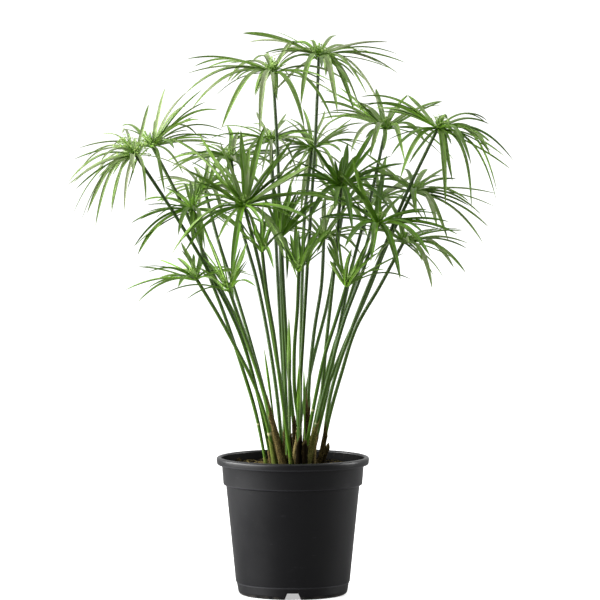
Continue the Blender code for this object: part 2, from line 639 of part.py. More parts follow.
def side_triangles(bm):
    """The side triangles with two corners on the hub's upper edge, by azimuth."""
    found = []
    for face in bm.faces:
        high = [v for v in face.verts if abs(v.co.z - HUB_HEIGHT / 2) < 1e-6]
        low = [v for v in face.verts if v.co.z < 0]
        if len(face.verts) == 3 and len(high) == 2 and len(low) == 1:
            found.append(face)
    return sorted(found, key=lambda f: math.atan2(*f.calc_center_median().yx))


def grow_bract(bm, face, rings, tip, inverse):
    """Extrudes the hub's side face through the rings, then draws its end out to the tip."""
    corners = [v.co.copy() for v in face.verts]
    keel = min(range(3), key=lambda i: corners[i].z)
    left, right = [(keel + k) % 3 for k in (1, 2)]
    first = [inverse @ p for p in rings[0]]
    if (corners[left] - corners[right]).dot(first[0] - first[1]) < 0:
        left, right = right, left
    for ring in rings:
        face = bmesh.ops.extrude_discrete_faces(bm, faces=[face])["faces"][0]
        verts = list(face.verts)
        for index, point in zip((left, right, keel), ring):
            verts[index].co = inverse @ point
    end = bmesh.ops.poke(bm, faces=[face])
    end["verts"][0].co = inverse @ tip


def touches(tree, others):
    return any(other and tree.overlap(other) for other in others)


def place_bract(number, bract, frame, obstacles, sisters):
    """The bract's tip, root and rings at the first clear step, off its own crown's if it can be."""
    hub, depth, reach, width, _ = CROWNS[number]
    stations = FAR_STATIONS if number in FAR_CROWNS else BRACT_STATIONS
    free = []
    for step in CLEAR_STEPS:
        tip = bract_tip(hub, depth, reach, bract, step)
        outward = (frame.inverted() @ tip).xy.normalized() * HUB_RADIUS * 0.9
        root = frame @ outward.to_3d()
        rings = blade_rings(root, tip, bract[2], width, stations)
        whole = tree_of([fattened([root_ring(root, rings)] + rings, tip, CLEARANCE)])
        if touches(whole, obstacles):
            continue
        free.append((tip, root, rings))
        if not touches(tree_of([fattened(rings, tip, 0)]), sisters):
            return free[-1]
    return free[0] if free else None


def make_crown(number, obstacles, collection, material):
    """A hub with all its bracts. Each bract takes the first clear step."""
    bracts = CROWNS[number][4]
    frame = hub_frame(number)
    inverse = frame.inverted()
    chosen = []
    sisters = []
    for bract in bracts:
        placed = place_bract(number, bract, frame, obstacles, sisters)
        if placed:
            chosen.append(placed)
            sisters.append(tree_of([fattened(placed[2], placed[0], 0)]))
    chosen.sort(key=lambda c: math.atan2(*(inverse @ c[0]).yx))
    bm = start_hub(len(chosen))
    faces = side_triangles(bm)
    turns = []
    for face, (tip, _, _) in zip(faces, chosen):
        turn = math.atan2(*(inverse @ tip).yx) - math.atan2(*face.calc_center_median().yx)
        turns.append((math.cos(turn), math.sin(turn)))
    turn = math.atan2(sum(t[1] for t in turns), sum(t[0] for t in turns))
    bmesh.ops.rotate(bm, verts=bm.verts, cent=(0, 0, 0), matrix=Matrix.Rotation(turn, 3, "Z"))
    for face, (tip, _, rings) in zip(faces, chosen):
        grow_bract(bm, face, rings, tip, inverse)
    bmesh.ops.recalc_face_normals(bm, faces=bm.faces)
    mesh = bpy.data.meshes.new(f"crown_{number:02d}")
    bm.to_mesh(mesh)
    bm.free()
    add_object(f"crown_{number:02d}", mesh, collection, material).matrix_world = frame
    shells = [fattened([root_ring(root, rings)] + rings, tip, CLEARANCE) for tip, root, rings in chosen]
    return tree_of(shells), len(bracts) - len(chosen)


def main():
    clear_scene()
    parts = new_collection("potted umbrella sedge")
    cutters = new_collection("cutters")
    make_pot(parts, cutters)
    make_soil(parts)
    make_rhizome(parts)
    culm = make_material("culm")
    stalks = [make_stem(number, parts, culm) for number in STEMS]
    shoot = make_material("shoot")
    stalks += [make_shoot(number, parts, shoot) for number in SHOOTS]
    stalk_tree = tree_of([stalk_shell(stalk) for stalk in stalks])
    hub_trees = {number: tree_of([hub_room(number)]) for number in CROWNS}
    placed = []
    bract = make_material("bract")
    for number in CROWNS:
        other_hubs = [tree for other, tree in hub_trees.items() if other != number]
        obstacles = [stalk_tree] + other_hubs + placed
        tree, left_out = make_crown(number, obstacles, parts, bract)
        placed.append(tree)
        if left_out:
            print(f"crown {number} has no clear place for {left_out} bracts")


main()
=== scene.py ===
import math

import bmesh
import bpy
import numpy as np
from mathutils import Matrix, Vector


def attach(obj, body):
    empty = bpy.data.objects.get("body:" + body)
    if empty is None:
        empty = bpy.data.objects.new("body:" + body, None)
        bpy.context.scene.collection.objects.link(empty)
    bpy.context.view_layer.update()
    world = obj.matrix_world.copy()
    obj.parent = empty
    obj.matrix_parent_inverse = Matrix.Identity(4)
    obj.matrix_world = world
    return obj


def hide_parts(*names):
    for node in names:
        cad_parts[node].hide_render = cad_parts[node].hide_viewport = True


# Potted umbrella sedge in its nursery pot. Sizes are in metres, and lengths given in mm are
# multiplied by mm. Culms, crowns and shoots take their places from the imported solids.
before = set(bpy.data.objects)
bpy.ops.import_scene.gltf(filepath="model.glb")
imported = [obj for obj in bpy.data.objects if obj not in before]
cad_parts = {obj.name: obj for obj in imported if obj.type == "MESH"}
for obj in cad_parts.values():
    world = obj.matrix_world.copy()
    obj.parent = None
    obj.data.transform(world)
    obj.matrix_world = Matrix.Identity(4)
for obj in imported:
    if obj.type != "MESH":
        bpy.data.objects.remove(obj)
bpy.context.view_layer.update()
mm = 0.001


# Shapes

def cornersOf(node):
    # the mesh of a named solid, with the corners that stand in one place made one
    bm = bmesh.new()
    bm.from_mesh(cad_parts[node].data)
    bmesh.ops.remove_doubles(bm, verts=bm.verts, dist=0.01 * mm)
    return bm


def unit(v):
    # each vector divided by its own length
    return v / np.maximum(np.linalg.norm(v, axis=-1, keepdims=True), 1e-12)


def ease(t):
    # from 0 to 1 as t goes from 0 to 1, level at both ends
    t = np.clip(t, 0, 1)
    return t * t * (3 - 2 * t)


def through(points, share):
    # smooth curve through the points: between two of them it is the cubic that leaves and
    # arrives parallel to the line that joins the neighbours
    p = np.vstack([2 * points[0] - points[1], points, 2 * points[-1] - points[-2]])
    place = np.clip(share, 0, 1) * (len(points) - 1)
    i = np.minimum(place.astype(int), len(points) - 2)
    t = (place - i)[:, None]
    a, b, c, d = p[i], p[i + 1], p[i + 2], p[i + 3]
    return 0.5 * (2 * b + (c - a) * t + (2 * a - 5 * b + 4 * c - d) * t**2 + (3 * b - a - 3 * c + d) * t**3)


def tubes(path, radius, sides, turn=0.0, lobes=0.0, squareTo=(1.0, 0.0, 0.0)):
    # rings of points round each path point, square to the path: the radius is the path's own,
    # times one plus lobes times the cosine of three times the angle, which rounds off a triangle
    t = unit(np.gradient(path, axis=-2))
    ref = np.asarray(squareTo)
    side = unit(ref - t * (t @ ref)[..., None])[..., None, :]
    up = np.cross(t, side[..., 0, :])[..., None, :]
    angle = turn + 2 * np.pi * np.arange(sides) / sides
    reach = radius[..., None, None] * (1 + lobes * np.cos(3 * angle))[:, None]
    return path[..., None, :] + reach * (np.cos(angle)[:, None] * side + np.sin(angle)[:, None] * up)


def skinOf(grids, tone=0.5, fresh=0.0, across=None):
    # closed skins over grids[skin, row, column]: a row is a ring of corners, neighbouring rows
    # are joined by four-sided faces, and the first and last rings are filled
    grids = grids.reshape((-1,) + grids.shape[-3:])
    count, rows, cols = grids.shape[:3]
    across = np.linspace(0, 1, cols + 1) if across is None else np.array(across)
    r, c = np.meshgrid(np.arange(rows - 1), np.arange(cols), indexing="ij")
    n = (c + 1) % cols
    low, high = r / (rows - 1), (r + 1) / (rows - 1)
    quads = np.stack([r * cols + c, r * cols + n, (r + 1) * cols + n, (r + 1) * cols + c], -1).reshape(-1, 4)
    uv = np.stack([across[c], low, across[c + 1], low, across[c + 1], high, across[c], high], -1)
    starts = np.arange(count)[:, None] * rows * cols
    ends = np.concatenate([np.arange(cols)[::-1] + starts, np.arange(cols) + (rows - 1) * cols + starts])
    spread = np.ones((count, rows, cols))
    shaped = [np.reshape(a, np.shape(a) + (1,) * (3 - np.ndim(a))) * spread for a in (tone, fresh)]
    return {
        "points": grids.reshape(-1, 3),
        "quads": (quads[None] + starts[:, :, None]).reshape(-1, 4),
        "uv": np.tile(uv.reshape(1, -1, 2), (count, 1, 1)).reshape(-1, 2),
        "ends": ends.tolist(),
        "tone": shaped[0].ravel(),
        "fresh": shaped[1].ravel(),
    }


def addPiece(name, skins, material, slotName, *nodes, crease=60):
    # one object from several skins; it rides on the part's body and stands for the named solids
    starts = np.cumsum([0] + [len(s["points"]) for s in skins]).tolist()
    quads = np.concatenate([s["quads"] + k for s, k in zip(skins, starts)])
    ends = [[i + k for i in end] for s, k in zip(skins, starts) for end in s["ends"]]
    mesh = bpy.data.meshes.new(name)
    mesh.from_pydata(np.concatenate([s["points"] for s in skins]), [], quads.tolist() + ends)
    corners = np.zeros((len(mesh.loops), 2), np.float32)
    known = np.concatenate([s["uv"] for s in skins])
    corners[:len(known)] = known
    mesh.uv_layers.new(name="skin").data.foreach_set("uv", corners.ravel())
    for key in ("tone", "fresh"):
        values = np.concatenate([s[key] for s in skins]).astype(np.float32)
        mesh.attributes.new(key, "FLOAT", "POINT").data.foreach_set("value", values)
    mesh.shade_smooth()
    mesh.set_sharp_from_angle(angle=math.radians(crease))
    mesh.materials.append(material)
    obj = bpy.data.objects.new(name, mesh)
    bpy.context.scene.collection.objects.link(obj)
    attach(obj, "root")
    if nodes:
        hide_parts(*nodes)
    return obj


def waves(x, y, size, seed, count=9):
    # an uneven field between about -1 and 1: twice the mean of cosines that run in random
    # directions, with wave lengths near size
    rng = np.random.default_rng(seed)
    heading = rng.uniform(0, 2 * np.pi, count)
    pace = 2 * np.pi / (size * rng.uniform(0.6, 1.5, count))
    shift = rng.uniform(0, 2 * np.pi, count)
    phase = x[..., None] * np.cos(heading) * pace + y[..., None] * np.sin(heading) * pace + shift
    return np.cos(phase).mean(-1) * 2


# Materials

def startMaterial(name, **constants):
    # a new material with these constants on its shader's own sockets
    material = bpy.data.materials.new(name)
    material.use_nodes = True
    shader = material.node_tree.nodes["Principled BSDF"]
    for key, value in constants.items():
        shader.inputs[key.replace("_", " ")].default_value = value
    return material, material.node_tree, shader


def put(tree, kind, inputs=None, **settings):
    # a node with its settings and inputs: an input that is a socket is linked, and a colour of
    # three parts is opaque
    made = tree.nodes.new("ShaderNode" + kind)
    for key, value in settings.items():
        setattr(made, key, value)
    for key, value in (inputs or {}).items():
        if isinstance(value, bpy.types.NodeSocket):
            tree.links.new(value, made.inputs[key])
        elif made.inputs[key].type == "RGBA" and len(value) == 3:
            made.inputs[key].default_value = (*value, 1)
        else:
            made.inputs[key].default_value = value
    return made


def blendOf(tree, factor, a, b, how="MIX"):
    # colour a, turning into b as the factor goes from 0 to 1
    return put(tree, "Mix", {0: factor, 6: a, 7: b}, data_type="RGBA", blend_type=how).outputs[2]


def rampOf(tree, factor, *stops):
    # the colour between the stops, each a position and a colour
    made = put(tree, "ValToRGB", {"Fac": factor})
    while len(made.color_ramp.elements) < len(stops):
        made.color_ramp.elements.new(0.5)
    for element, (position, colour) in zip(made.color_ramp.elements, stops):
        element.position = position
        element.color = (*colour, 1)
    return made.outputs["Color"]


def rangeOf(tree, value, low, high, toLow=0.0, toHigh=1.0):
    # the value carried in a straight line from low and high to toLow and toHigh
    inputs = {"Value": value, "From Min": low, "From Max": high, "To Min": toLow, "To Max": toHigh}
    return put(tree, "MapRange", inputs).outputs["Result"]


def mathOf(tree, how, a, b):
    # a and b put together by a Math node; the second is not used by SINE and ABSOLUTE
    return put(tree, "Math", {0: a, 1: b}, operation=how).outputs[0]


def noiseOf(tree, vector, scale, detail=3.0, roughness=0.55):
    # uneven clouds from 0 to 1, finer with a larger scale
    inputs = {"Vector": vector, "Scale": scale, "Detail": detail, "Roughness": roughness}
    return put(tree, "TexNoise", inputs).outputs["Fac"]


def stretched(tree, vector, x, y, z):
    # coordinates scaled by their own amount along each axis
    return put(tree, "Mapping", {"Vector": vector, "Scale": (x, y, z)}).outputs["Vector"]


def surface(tree, shader, colour, height, strength, distance, roughness=None):
    # the shader's colour, a small relief that follows the height and, where given, the roughness
    bump = put(tree, "Bump", {"Height": height, "Strength": strength, "Distance": distance})
    tree.links.new(colour, shader.inputs["Base Color"])
    tree.links.new(bump.outputs["Normal"], shader.inputs["Normal"])
    if roughness is not None:
        tree.links.new(roughness, shader.inputs["Roughness"])


def showMix(tree, output, factor, a, b):
    # the output shows shader a, turning into b as the factor goes from 0 to 1
    both = put(tree, "MixShader", {0: factor, 1: a.outputs[0], 2: b.outputs[0]})
    tree.links.new(both.outputs[0], tree.nodes[output].inputs["Surface"])


def readAttribute(tree, name):
    # a value stored on the mesh's points
    return put(tree, "Attribute", attribute_name=name).outputs["Fac"]


bractLook = {
    "shade": (0.024, 0.076, 0.001),
    "leaf": (0.176, 0.304, 0.046),
    "pale": (0.385, 0.415, 0.265),
    "fresh": (0.190, 0.400, 0.020),
    "dryTip": (0.300, 0.210, 0.090),
    "glow": (0.290, 0.440, 0.070),
    "veins": 7,
    "streaks": (8.0, 1.1),
    "seeThrough": 0.32,
}


def bractMaterial():
    # leaf green from dark to pale by the blade's own tone, with clouds and long streaks; fine veins,
    # a pale midrib and dry tips; some light passes through
    look = bractLook
    material, tree, shader = startMaterial("bract green", Roughness=0.4, Specular_IOR_Level=0.27)
    place = put(tree, "TexCoord").outputs["Object"]
    skin = put(tree, "UVMap", uv_map="skin").outputs["UV"]
    split = put(tree, "SeparateXYZ", {"Vector": skin})
    cloudy = noiseOf(tree, place, 70)
    own = readAttribute(tree, "tone")
    # long streaks along the blade, different on each blade
    across = mathOf(tree, "MULTIPLY", split.outputs["X"], look["streaks"][0])
    along = mathOf(tree, "MULTIPLY", split.outputs["Y"], look["streaks"][1])
    lines = put(tree, "CombineXYZ", {"X": across, "Y": along, "Z": mathOf(tree, "MULTIPLY", own, 37.0)})
    streaks = noiseOf(tree, lines.outputs["Vector"], 1, 2)
    tone = mathOf(tree, "ADD", own, rangeOf(tree, cloudy, 0.3, 0.7, -0.1, 0.1))
    tone = mathOf(tree, "ADD", tone, rangeOf(tree, streaks, 0.3, 0.7, -0.28, 0.28))
    colour = rampOf(tree, tone, (0.0, look["shade"]), (0.5, look["leaf"]), (1.0, look["pale"]))
    colour = blendOf(tree, readAttribute(tree, "fresh"), colour, look["fresh"])
    veinPhase = mathOf(tree, "MULTIPLY", split.outputs["X"], look["veins"] * 2 * math.pi)
    vein = rangeOf(tree, mathOf(tree, "SINE", veinPhase, 0.0), -1, 1)
    colour = blendOf(tree, rangeOf(tree, vein, 0, 1, 0.0, 0.3), colour, look["shade"])
    offMiddle = mathOf(tree, "ABSOLUTE", mathOf(tree, "SUBTRACT", split.outputs["X"], 0.5), 0.0)
    midrib = rangeOf(tree, offMiddle, 0.03, 0.09, 0.3, 0.0)
    colour = blendOf(tree, midrib, colour, look["pale"])
    streak = noiseOf(tree, stretched(tree, skin, 9, 2.5, 1), 4)
    atTip = rangeOf(tree, split.outputs["Y"], 0.93, 1.0)
    dry = mathOf(tree, "MULTIPLY", atTip, rangeOf(tree, streak, 0.45, 0.6))
    colour = blendOf(tree, dry, colour, look["dryTip"])
    surface(tree, shader, colour, vein, 0.35, 0.0002, rangeOf(tree, cloudy, 0.3, 0.7, 0.4, 0.56))
    glow = put(tree, "BsdfTranslucent", {"Color": blendOf(tree, 0.55, colour, look["glow"])})
    showMix(tree, "Material Output", look["seeThrough"], shader, glow)
    return material


culmLook = {
    "high": (0.018, 0.040, 0.006),
    "low": (0.036, 0.086, 0.003),
    "pale": (0.110, 0.180, 0.035),
    "scar": (0.480, 0.430, 0.250),
    "lowHeight": 0.17,
    "highHeight": 0.36,
    "ridges": 16,
}


def culmMaterial():
    # satin green, darker with height, with upright streaks, pale leaf scars and fine ridges
    look = culmLook
    material, tree, shader = startMaterial("culm green", Roughness=0.32, Specular_IOR_Level=0.21)
    place = put(tree, "TexCoord").outputs["Object"]
    skin = put(tree, "UVMap", uv_map="skin").outputs["UV"]
    around = put(tree, "SeparateXYZ", {"Vector": skin}).outputs["X"]
    height = put(tree, "SeparateXYZ", {"Vector": place}).outputs["Z"]
    rise = rangeOf(tree, height, look["lowHeight"], look["highHeight"])
    colour = blendOf(tree, rise, look["low"], look["high"])
    streak = noiseOf(tree, stretched(tree, place, 900, 900, 22), 1)
    tone = mathOf(tree, "ADD", readAttribute(tree, "tone"), rangeOf(tree, streak, 0.3, 0.7, -0.3, 0.3))
    colour = blendOf(tree, rangeOf(tree, tone, 0.2, 1.3, 0.0, 0.36), colour, look["pale"])
    colour = blendOf(tree, readAttribute(tree, "fresh"), colour, look["scar"])
    ridge = mathOf(tree, "SINE", mathOf(tree, "MULTIPLY", around, look["ridges"] * 2 * math.pi), 0.0)
    surface(tree, shader, colour, ridge, 0.25, 0.0002, rangeOf(tree, streak, 0.3, 0.7, 0.28, 0.42))
    return material


sheathLook = {
    # near black: partly painted shade at the foot of the clump
    "dark": (0.003, 0.002, 0.0006),
    "brown": (0.058, 0.044, 0.015),
    "tan": (0.210, 0.165, 0.065),
    "green": (0.060, 0.120, 0.012),
}


def sheathMaterial():
    # dead papery brown with upright fibres, uneven patches and a paler mouth; its darkest tone, near black,
    # is partly painted shade at the foot of the clump
    look = sheathLook
    material, tree, shader = startMaterial("dry sheath", Roughness=0.9, Specular_IOR_Level=0.02)
    place = put(tree, "TexCoord").outputs["Object"]
    skin = put(tree, "UVMap", uv_map="skin").outputs["UV"]
    fibre = noiseOf(tree, stretched(tree, place, 1100, 1100, 55), 1, 4, 0.7)
    patch = noiseOf(tree, place, 1000, 3, 0.7)
    tone = mathOf(tree, "ADD", readAttribute(tree, "tone"), rangeOf(tree, fibre, 0.35, 0.65, -0.2, 0.2))
    tone = mathOf(tree, "ADD", tone, rangeOf(tree, patch, 0.38, 0.62, -0.28, 0.28))
    colour = rampOf(tree, tone, (0.0, look["dark"]), (0.5, look["brown"]), (1.0, look["tan"]))
    colour = blendOf(tree, readAttribute(tree, "fresh"), colour, look["green"])
    edge = rangeOf(tree, put(tree, "SeparateXYZ", {"Vector": skin}).outputs["Y"], 0.8, 1.0, 0.0, 0.3)
    colour = blendOf(tree, edge, colour, look["tan"])
    surface(tree, shader, colour, fibre, 0.5, 0.0003)
    return material


spikeletLook = {
    "green": (0.130, 0.270, 0.030),
    "yellow": (0.340, 0.460, 0.130),
    "brown": (0.300, 0.330, 0.070),
}


def spikeletMaterial():
    # small specks from green to yellow and brown
    look = spikeletLook
    material, tree, shader = startMaterial("spikelet", Roughness=0.6)
    place = put(tree, "TexCoord").outputs["Object"]
    speck = noiseOf(tree, place, 900, 2)
    tone = mathOf(tree, "ADD", readAttribute(tree, "tone"), rangeOf(tree, speck, 0.3, 0.7, -0.3, 0.3))
    colour = rampOf(tree, tone, (0.0, look["green"]), (0.75, look["yellow"]), (1.0, look["brown"]))
    surface(tree, shader, colour, speck, 0.5, 0.0003)
    return material


earthLook = {
    "deep": (0.0020, 0.0015, 0.0008),
    "peat": (0.010, 0.0065, 0.003),
    "chip": (0.080, 0.055, 0.021),
}


def earthMaterial(name, grain, lift):
    # dark peat of two grain sizes, with pale chips where the finer one is high
    look = earthLook
    material, tree, shader = startMaterial(name, Roughness=0.95, Specular_IOR_Level=0.08)
    place = put(tree, "TexCoord").outputs["Object"]
    coarse = noiseOf(tree, place, grain, 5, 0.7)
    fine = noiseOf(tree, place, grain * 4, 3, 0.6)
    tone = mathOf(tree, "ADD", rangeOf(tree, coarse, 0.25, 0.75, -0.25, 0.45), readAttribute(tree, "tone"))
    colour = rampOf(tree, tone, (0.0, look["deep"]), (0.55, look["peat"]), (1.0, look["chip"]))
    colour = blendOf(tree, rangeOf(tree, fine, 0.62, 0.75, 0.0, lift), colour, look["chip"])
    surface(tree, shader, colour, mathOf(tree, "ADD", coarse, fine), 0.9, 0.0012)
    return material


potLook = {
    "plastic": (0.0013, 0.0013, 0.0019),
    # the scuffs' colour, which also paints the highlight lines
    "scuffAndHighlight": (0.045, 0.045, 0.050),
    "dust": (0.160, 0.145, 0.120),
    "dustTop": 0.004,
    # heights of the painted highlight lines at the groove, the collar's lower edge and the lip's, in metres
    "highlightHeights": (0.0122, 0.1113, 0.1317),
}


def potMaterial():
    # black plastic with faint scuffs round it, dust at the foot, and painted highlights: soft light lines at
    # the groove and at the lower edges of the collar and the lip
    look = potLook
    material, tree, shader = startMaterial("black pot plastic", Specular_IOR_Level=0.26)
    place = put(tree, "TexCoord").outputs["Object"]
    height = put(tree, "SeparateXYZ", {"Vector": place}).outputs["Z"]
    cloudy = noiseOf(tree, place, 14, 4)
    grain = noiseOf(tree, place, 1400, 2)
    scuffField = noiseOf(tree, stretched(tree, place, 60, 60, 420), 1, 4, 0.65)
    scuff = rangeOf(tree, scuffField, 0.66, 0.74, 0.0, 0.35)
    colour = blendOf(tree, scuff, look["plastic"], look["scuffAndHighlight"])
    # painted highlight: a soft light line at each of these heights, where a rounded edge would catch the
    # light
    for edge in look["highlightHeights"]:
        away = mathOf(tree, "ABSOLUTE", mathOf(tree, "SUBTRACT", height, edge), 0.0)
        nearHighlight = rangeOf(tree, away, 0.0003, 0.0011, 0.5, 0.0)
        paintedHighlight = mathOf(tree, "MULTIPLY", nearHighlight, rangeOf(tree, cloudy, 0.3, 0.7, 0.5, 1.0))
        colour = blendOf(tree, paintedHighlight, colour, look["scuffAndHighlight"])
    low = rangeOf(tree, height, 0.0, look["dustTop"], 0.45, 0.0)
    dust = mathOf(tree, "MULTIPLY", low, rangeOf(tree, noiseOf(tree, place, 130, 4), 0.4, 0.65))
    colour = blendOf(tree, dust, colour, look["dust"])
    surface(tree, shader, colour, grain, 0.18, 0.0002, rangeOf(tree, cloudy, 0.3, 0.7, 0.34, 0.46))
    return material


insideLook = {"damp": (0.0012, 0.0012, 0.0012), "splash": (0.012, 0.010, 0.007)}


def insideMaterial():
    # the damp wall over the soil, with a few dried splashes
    look = insideLook
    material, tree, shader = startMaterial("pot inside", Roughness=0.8, Specular_IOR_Level=0.06)
    place = put(tree, "TexCoord").outputs["Object"]
    splash = rangeOf(tree, noiseOf(tree, place, 240, 4), 0.58, 0.75)
    colour = blendOf(tree, splash, look["damp"], look["splash"])
    surface(tree, shader, colour, noiseOf(tree, place, 900, 2), 0.2, 0.0002)
    return material


# Pot

pot = {
    # heights, radii and widths in mm
    "rimHeight": 138.8,
    "lipRadius": 76.8,
    "lipBottom": 131.2,
    "mouthRadius": 72.0,
    "collarTop": 71.4,
    "collarLow": 69.9,
    "collarBottom": 111.0,
    "bodyTop": 67.1,
    "grooveHeight": 12.6,
    "bodyLow": 57.4,
    "footTop": 56.5,
    "footOuter": 50.7,
    "footInner": 47.0,
    "footLean": 0.95,
    "cornerRadius": 5.2,
    "floorUnder": 7.6,
    "floorTop": 9.6,
    "wall": 1.9,
    "notchLow": 17.0,
    "notchHigh": 10.5,
    "notchRoof": 7.0,
    "notches": 4,
    # the outline's stations on each side of a notch, across it, and how near an even one may come
    "notchStations": (4.4, 5.2, 5.8, 6.4, 7.2, 8.0, 8.5, 8.8),
    "clearAngle": 0.007,
    "steps": 168,
}


def turnedProfile(points, bend=0.45, steps=3):
    # rounds each inner corner of a (radius, height) outline: near the corner, both neighbours are
    # cut back by bend mm and joined by a parabola with the corner as its control point
    p = np.array(points, float)
    back, ahead = p[:-2] - p[1:-1], p[2:] - p[1:-1]
    reach = np.minimum(bend, 0.4 * np.minimum(np.linalg.norm(back, axis=1), np.linalg.norm(ahead, axis=1)))
    start = p[1:-1] + unit(back) * reach[:, None]
    end = p[1:-1] + unit(ahead) * reach[:, None]
    t = np.linspace(0, 1, steps)[:, None]
    rounded = start[:, None] * (1 - t) ** 2 + p[1:-1, None] * 2 * t * (1 - t) + end[:, None] * t**2
    return np.vstack([p[:1], rounded.reshape(-1, 2), p[-1:]])


def buildPot(material, inner):
    # the outline goes from the middle of the underside, up the outside, over the lip and down the
    # inside; turned round +Z, with the foot ring lifted to the roof of each drain notch. The small
    # steps beside the named sizes round the groove, the collar and the lip
    k = pot
    turn = np.radians(np.linspace(-90, 0, 7))[:, None]
    centre = np.array([k["footTop"] - k["footLean"] - k["cornerRadius"], k["cornerRadius"]])
    corner = centre + k["cornerRadius"] * np.hstack([np.cos(turn), np.sin(turn)])
    under = [(0.5, k["floorUnder"]), (20, k["floorUnder"]), (k["footInner"] - 0.6, k["floorUnder"])]
    outside = [
        (k["footTop"], k["grooveHeight"] - 0.6),
        (k["footTop"] + 0.05, k["grooveHeight"] - 0.1),
        (k["bodyLow"], k["grooveHeight"] + 0.35),
        (k["bodyTop"], k["collarBottom"] - 0.9),
        (k["bodyTop"] + 0.5, k["collarBottom"] - 0.4),
        (k["collarLow"] - 0.5, k["collarBottom"]),
        (k["collarLow"], k["collarBottom"] + 0.7),
        (k["collarTop"], k["lipBottom"]),
        (k["lipRadius"] - 1.3, k["lipBottom"] - 0.1),
        (k["lipRadius"] - 0.55, k["lipBottom"] + 0.8),
        (k["lipRadius"], k["rimHeight"] - 2.4),
        (k["lipRadius"] - 0.3, k["rimHeight"] - 1.2),
        (k["lipRadius"] - 1.0, k["rimHeight"] - 0.4),
        (k["lipRadius"] - 2.2, k["rimHeight"] - 0.05),
        (k["mouthRadius"] + 1.3, k["rimHeight"]),
        (k["mouthRadius"] + 0.2, k["rimHeight"] - 0.9),
    ]
    inside = [
        (k["mouthRadius"] - 0.2, k["rimHeight"] - 2.2),
        (k["collarTop"] - k["wall"], k["lipBottom"]),
        (k["collarLow"] - k["wall"], k["collarBottom"] + 2),
        (k["bodyTop"] - k["wall"], k["collarBottom"] - 2),
        (k["bodyLow"] - k["wall"] - 0.6, k["grooveHeight"]),
        (k["footOuter"], k["floorTop"]),
        (0.5, k["floorTop"]),
    ]
    outline = turnedProfile(under + [(k["footInner"], 0.0)] + corner.tolist() + outside + inside)
    edge = np.array(k["notchStations"]) / k["footOuter"]
    quarter = 2 * np.pi / k["notches"]
    near = np.arange(k["notches"])[:, None] * quarter + np.concatenate([-edge, edge])
    near = near.ravel() % (2 * np.pi)
    evenly = np.arange(k["steps"]) * 2 * np.pi / k["steps"]
    taken = np.concatenate([near, near - 2 * np.pi, near + 2 * np.pi])
    clear = np.abs(evenly[:, None] - taken).min(1) > k["clearAngle"]
    angle = np.sort(np.concatenate([evenly[clear], near]))
    away = np.abs((angle + quarter / 2) % quarter - quarter / 2) * k["footOuter"]
    slope = (k["notchLow"] / 2 - away) / (k["notchLow"] / 2 - k["notchHigh"] / 2)
    roof = k["notchRoof"] * np.clip(slope, 0, 1) ** 0.8
    radius, height = outline[:, :1], np.repeat(outline[:, 1:], len(angle), axis=1)
    foot = (radius > k["footInner"] - 0.3) & (height < k["notchRoof"])
    height = np.where(foot, np.maximum(height, roof), height)
    grid = np.stack([radius * np.cos(angle), radius * np.sin(angle), height], -1) * mm
    obj = addPiece("nurseryPot", [skinOf(grid)], material, "pot_plastic", "pot", crease=38)
    obj.data.materials.append(inner)
    # the wall and floor inside are damp: each inner corner of the outline gave three of its rows
    first, last = len(outline) - 3 * len(inside) + 2, len(outline) - 1
    within = np.zeros(len(obj.data.polygons), np.int32)
    within[first * len(angle):last * len(angle)] = 1
    obj.data.polygons.foreach_set("material_index", within)
    return obj


# Soil and rootstock

soil = {
    # in mm; the side is given as points of radius and height
    "edgeHeight": 127.6,
    "moundHeight": 129.4,
    "lumps": 0.7,
    "side": ((0.5, 9.9), (50.2, 9.9), (54.2, 12.9), (64.9, 109), (67.8, 113), (69.0, 127.0)),
    "topRadius": 68.8,
    "topRings": 45,
    "around": 120,
    "crumbs": 620,
    "crumbSize": (0.5, 1.7),
    # the share of crumbs of usual size, the rest being twice as large, and how rough they are
    "usualCrumbs": 0.93,
    "crumbRough": 0.14,
    "crumbReach": 66.6,
    "fibres": 110,
    "fibreLength": (6, 26),
    "fibreReach": 62,
    "fibreLimit": 66,
}
rootstock = {
    # in mm
    "radius": 34.0,
    "bottom": 121.0,
    "top": 130.6,
    "lumps": 0.8,
    "bulb": 2.4,
    "bulbWidth": 4.6,
    "shoulder": 2.2,
    "shoulderWidth": 6,
    "topRings": 40,
    "around": 110,
}


def soilHeight(x, y):
    # a low mound, higher in the middle, with uneven lumps of two sizes
    r = np.hypot(x, y)
    base = soil["edgeHeight"] + (soil["moundHeight"] - soil["edgeHeight"]) * ease((70 - r) / 25)
    return base + soil["lumps"] * (waves(x, y, 17, 3) + 0.6 * waves(x, y, 5, 4))


def turnedSide(outline, angle):
    # (radius, height) points carried round +Z, one ring of points for each
    p = np.array(outline)
    return np.stack([p[:, :1] * np.cos(angle), p[:, :1] * np.sin(angle), p[:, 1:] + 0 * angle], -1)


def buildSoil(material):
    # bottom and side are turned; the top is the uneven mound on rings of points
    angle = np.linspace(0, 2 * np.pi, soil["around"], endpoint=False)
    side = turnedSide(soil["side"], angle)
    radius = np.concatenate([np.linspace(soil["topRadius"], 2, soil["topRings"]), [0.5]])[:, None]
    x, y = radius * np.cos(angle), radius * np.sin(angle)
    top = np.stack([x, y, soilHeight(x, y)], -1)
    grid = np.concatenate([side, top]) * mm
    return addPiece("pottingSoil", [skinOf(grid, 0.22)], material, "soil", "soil")


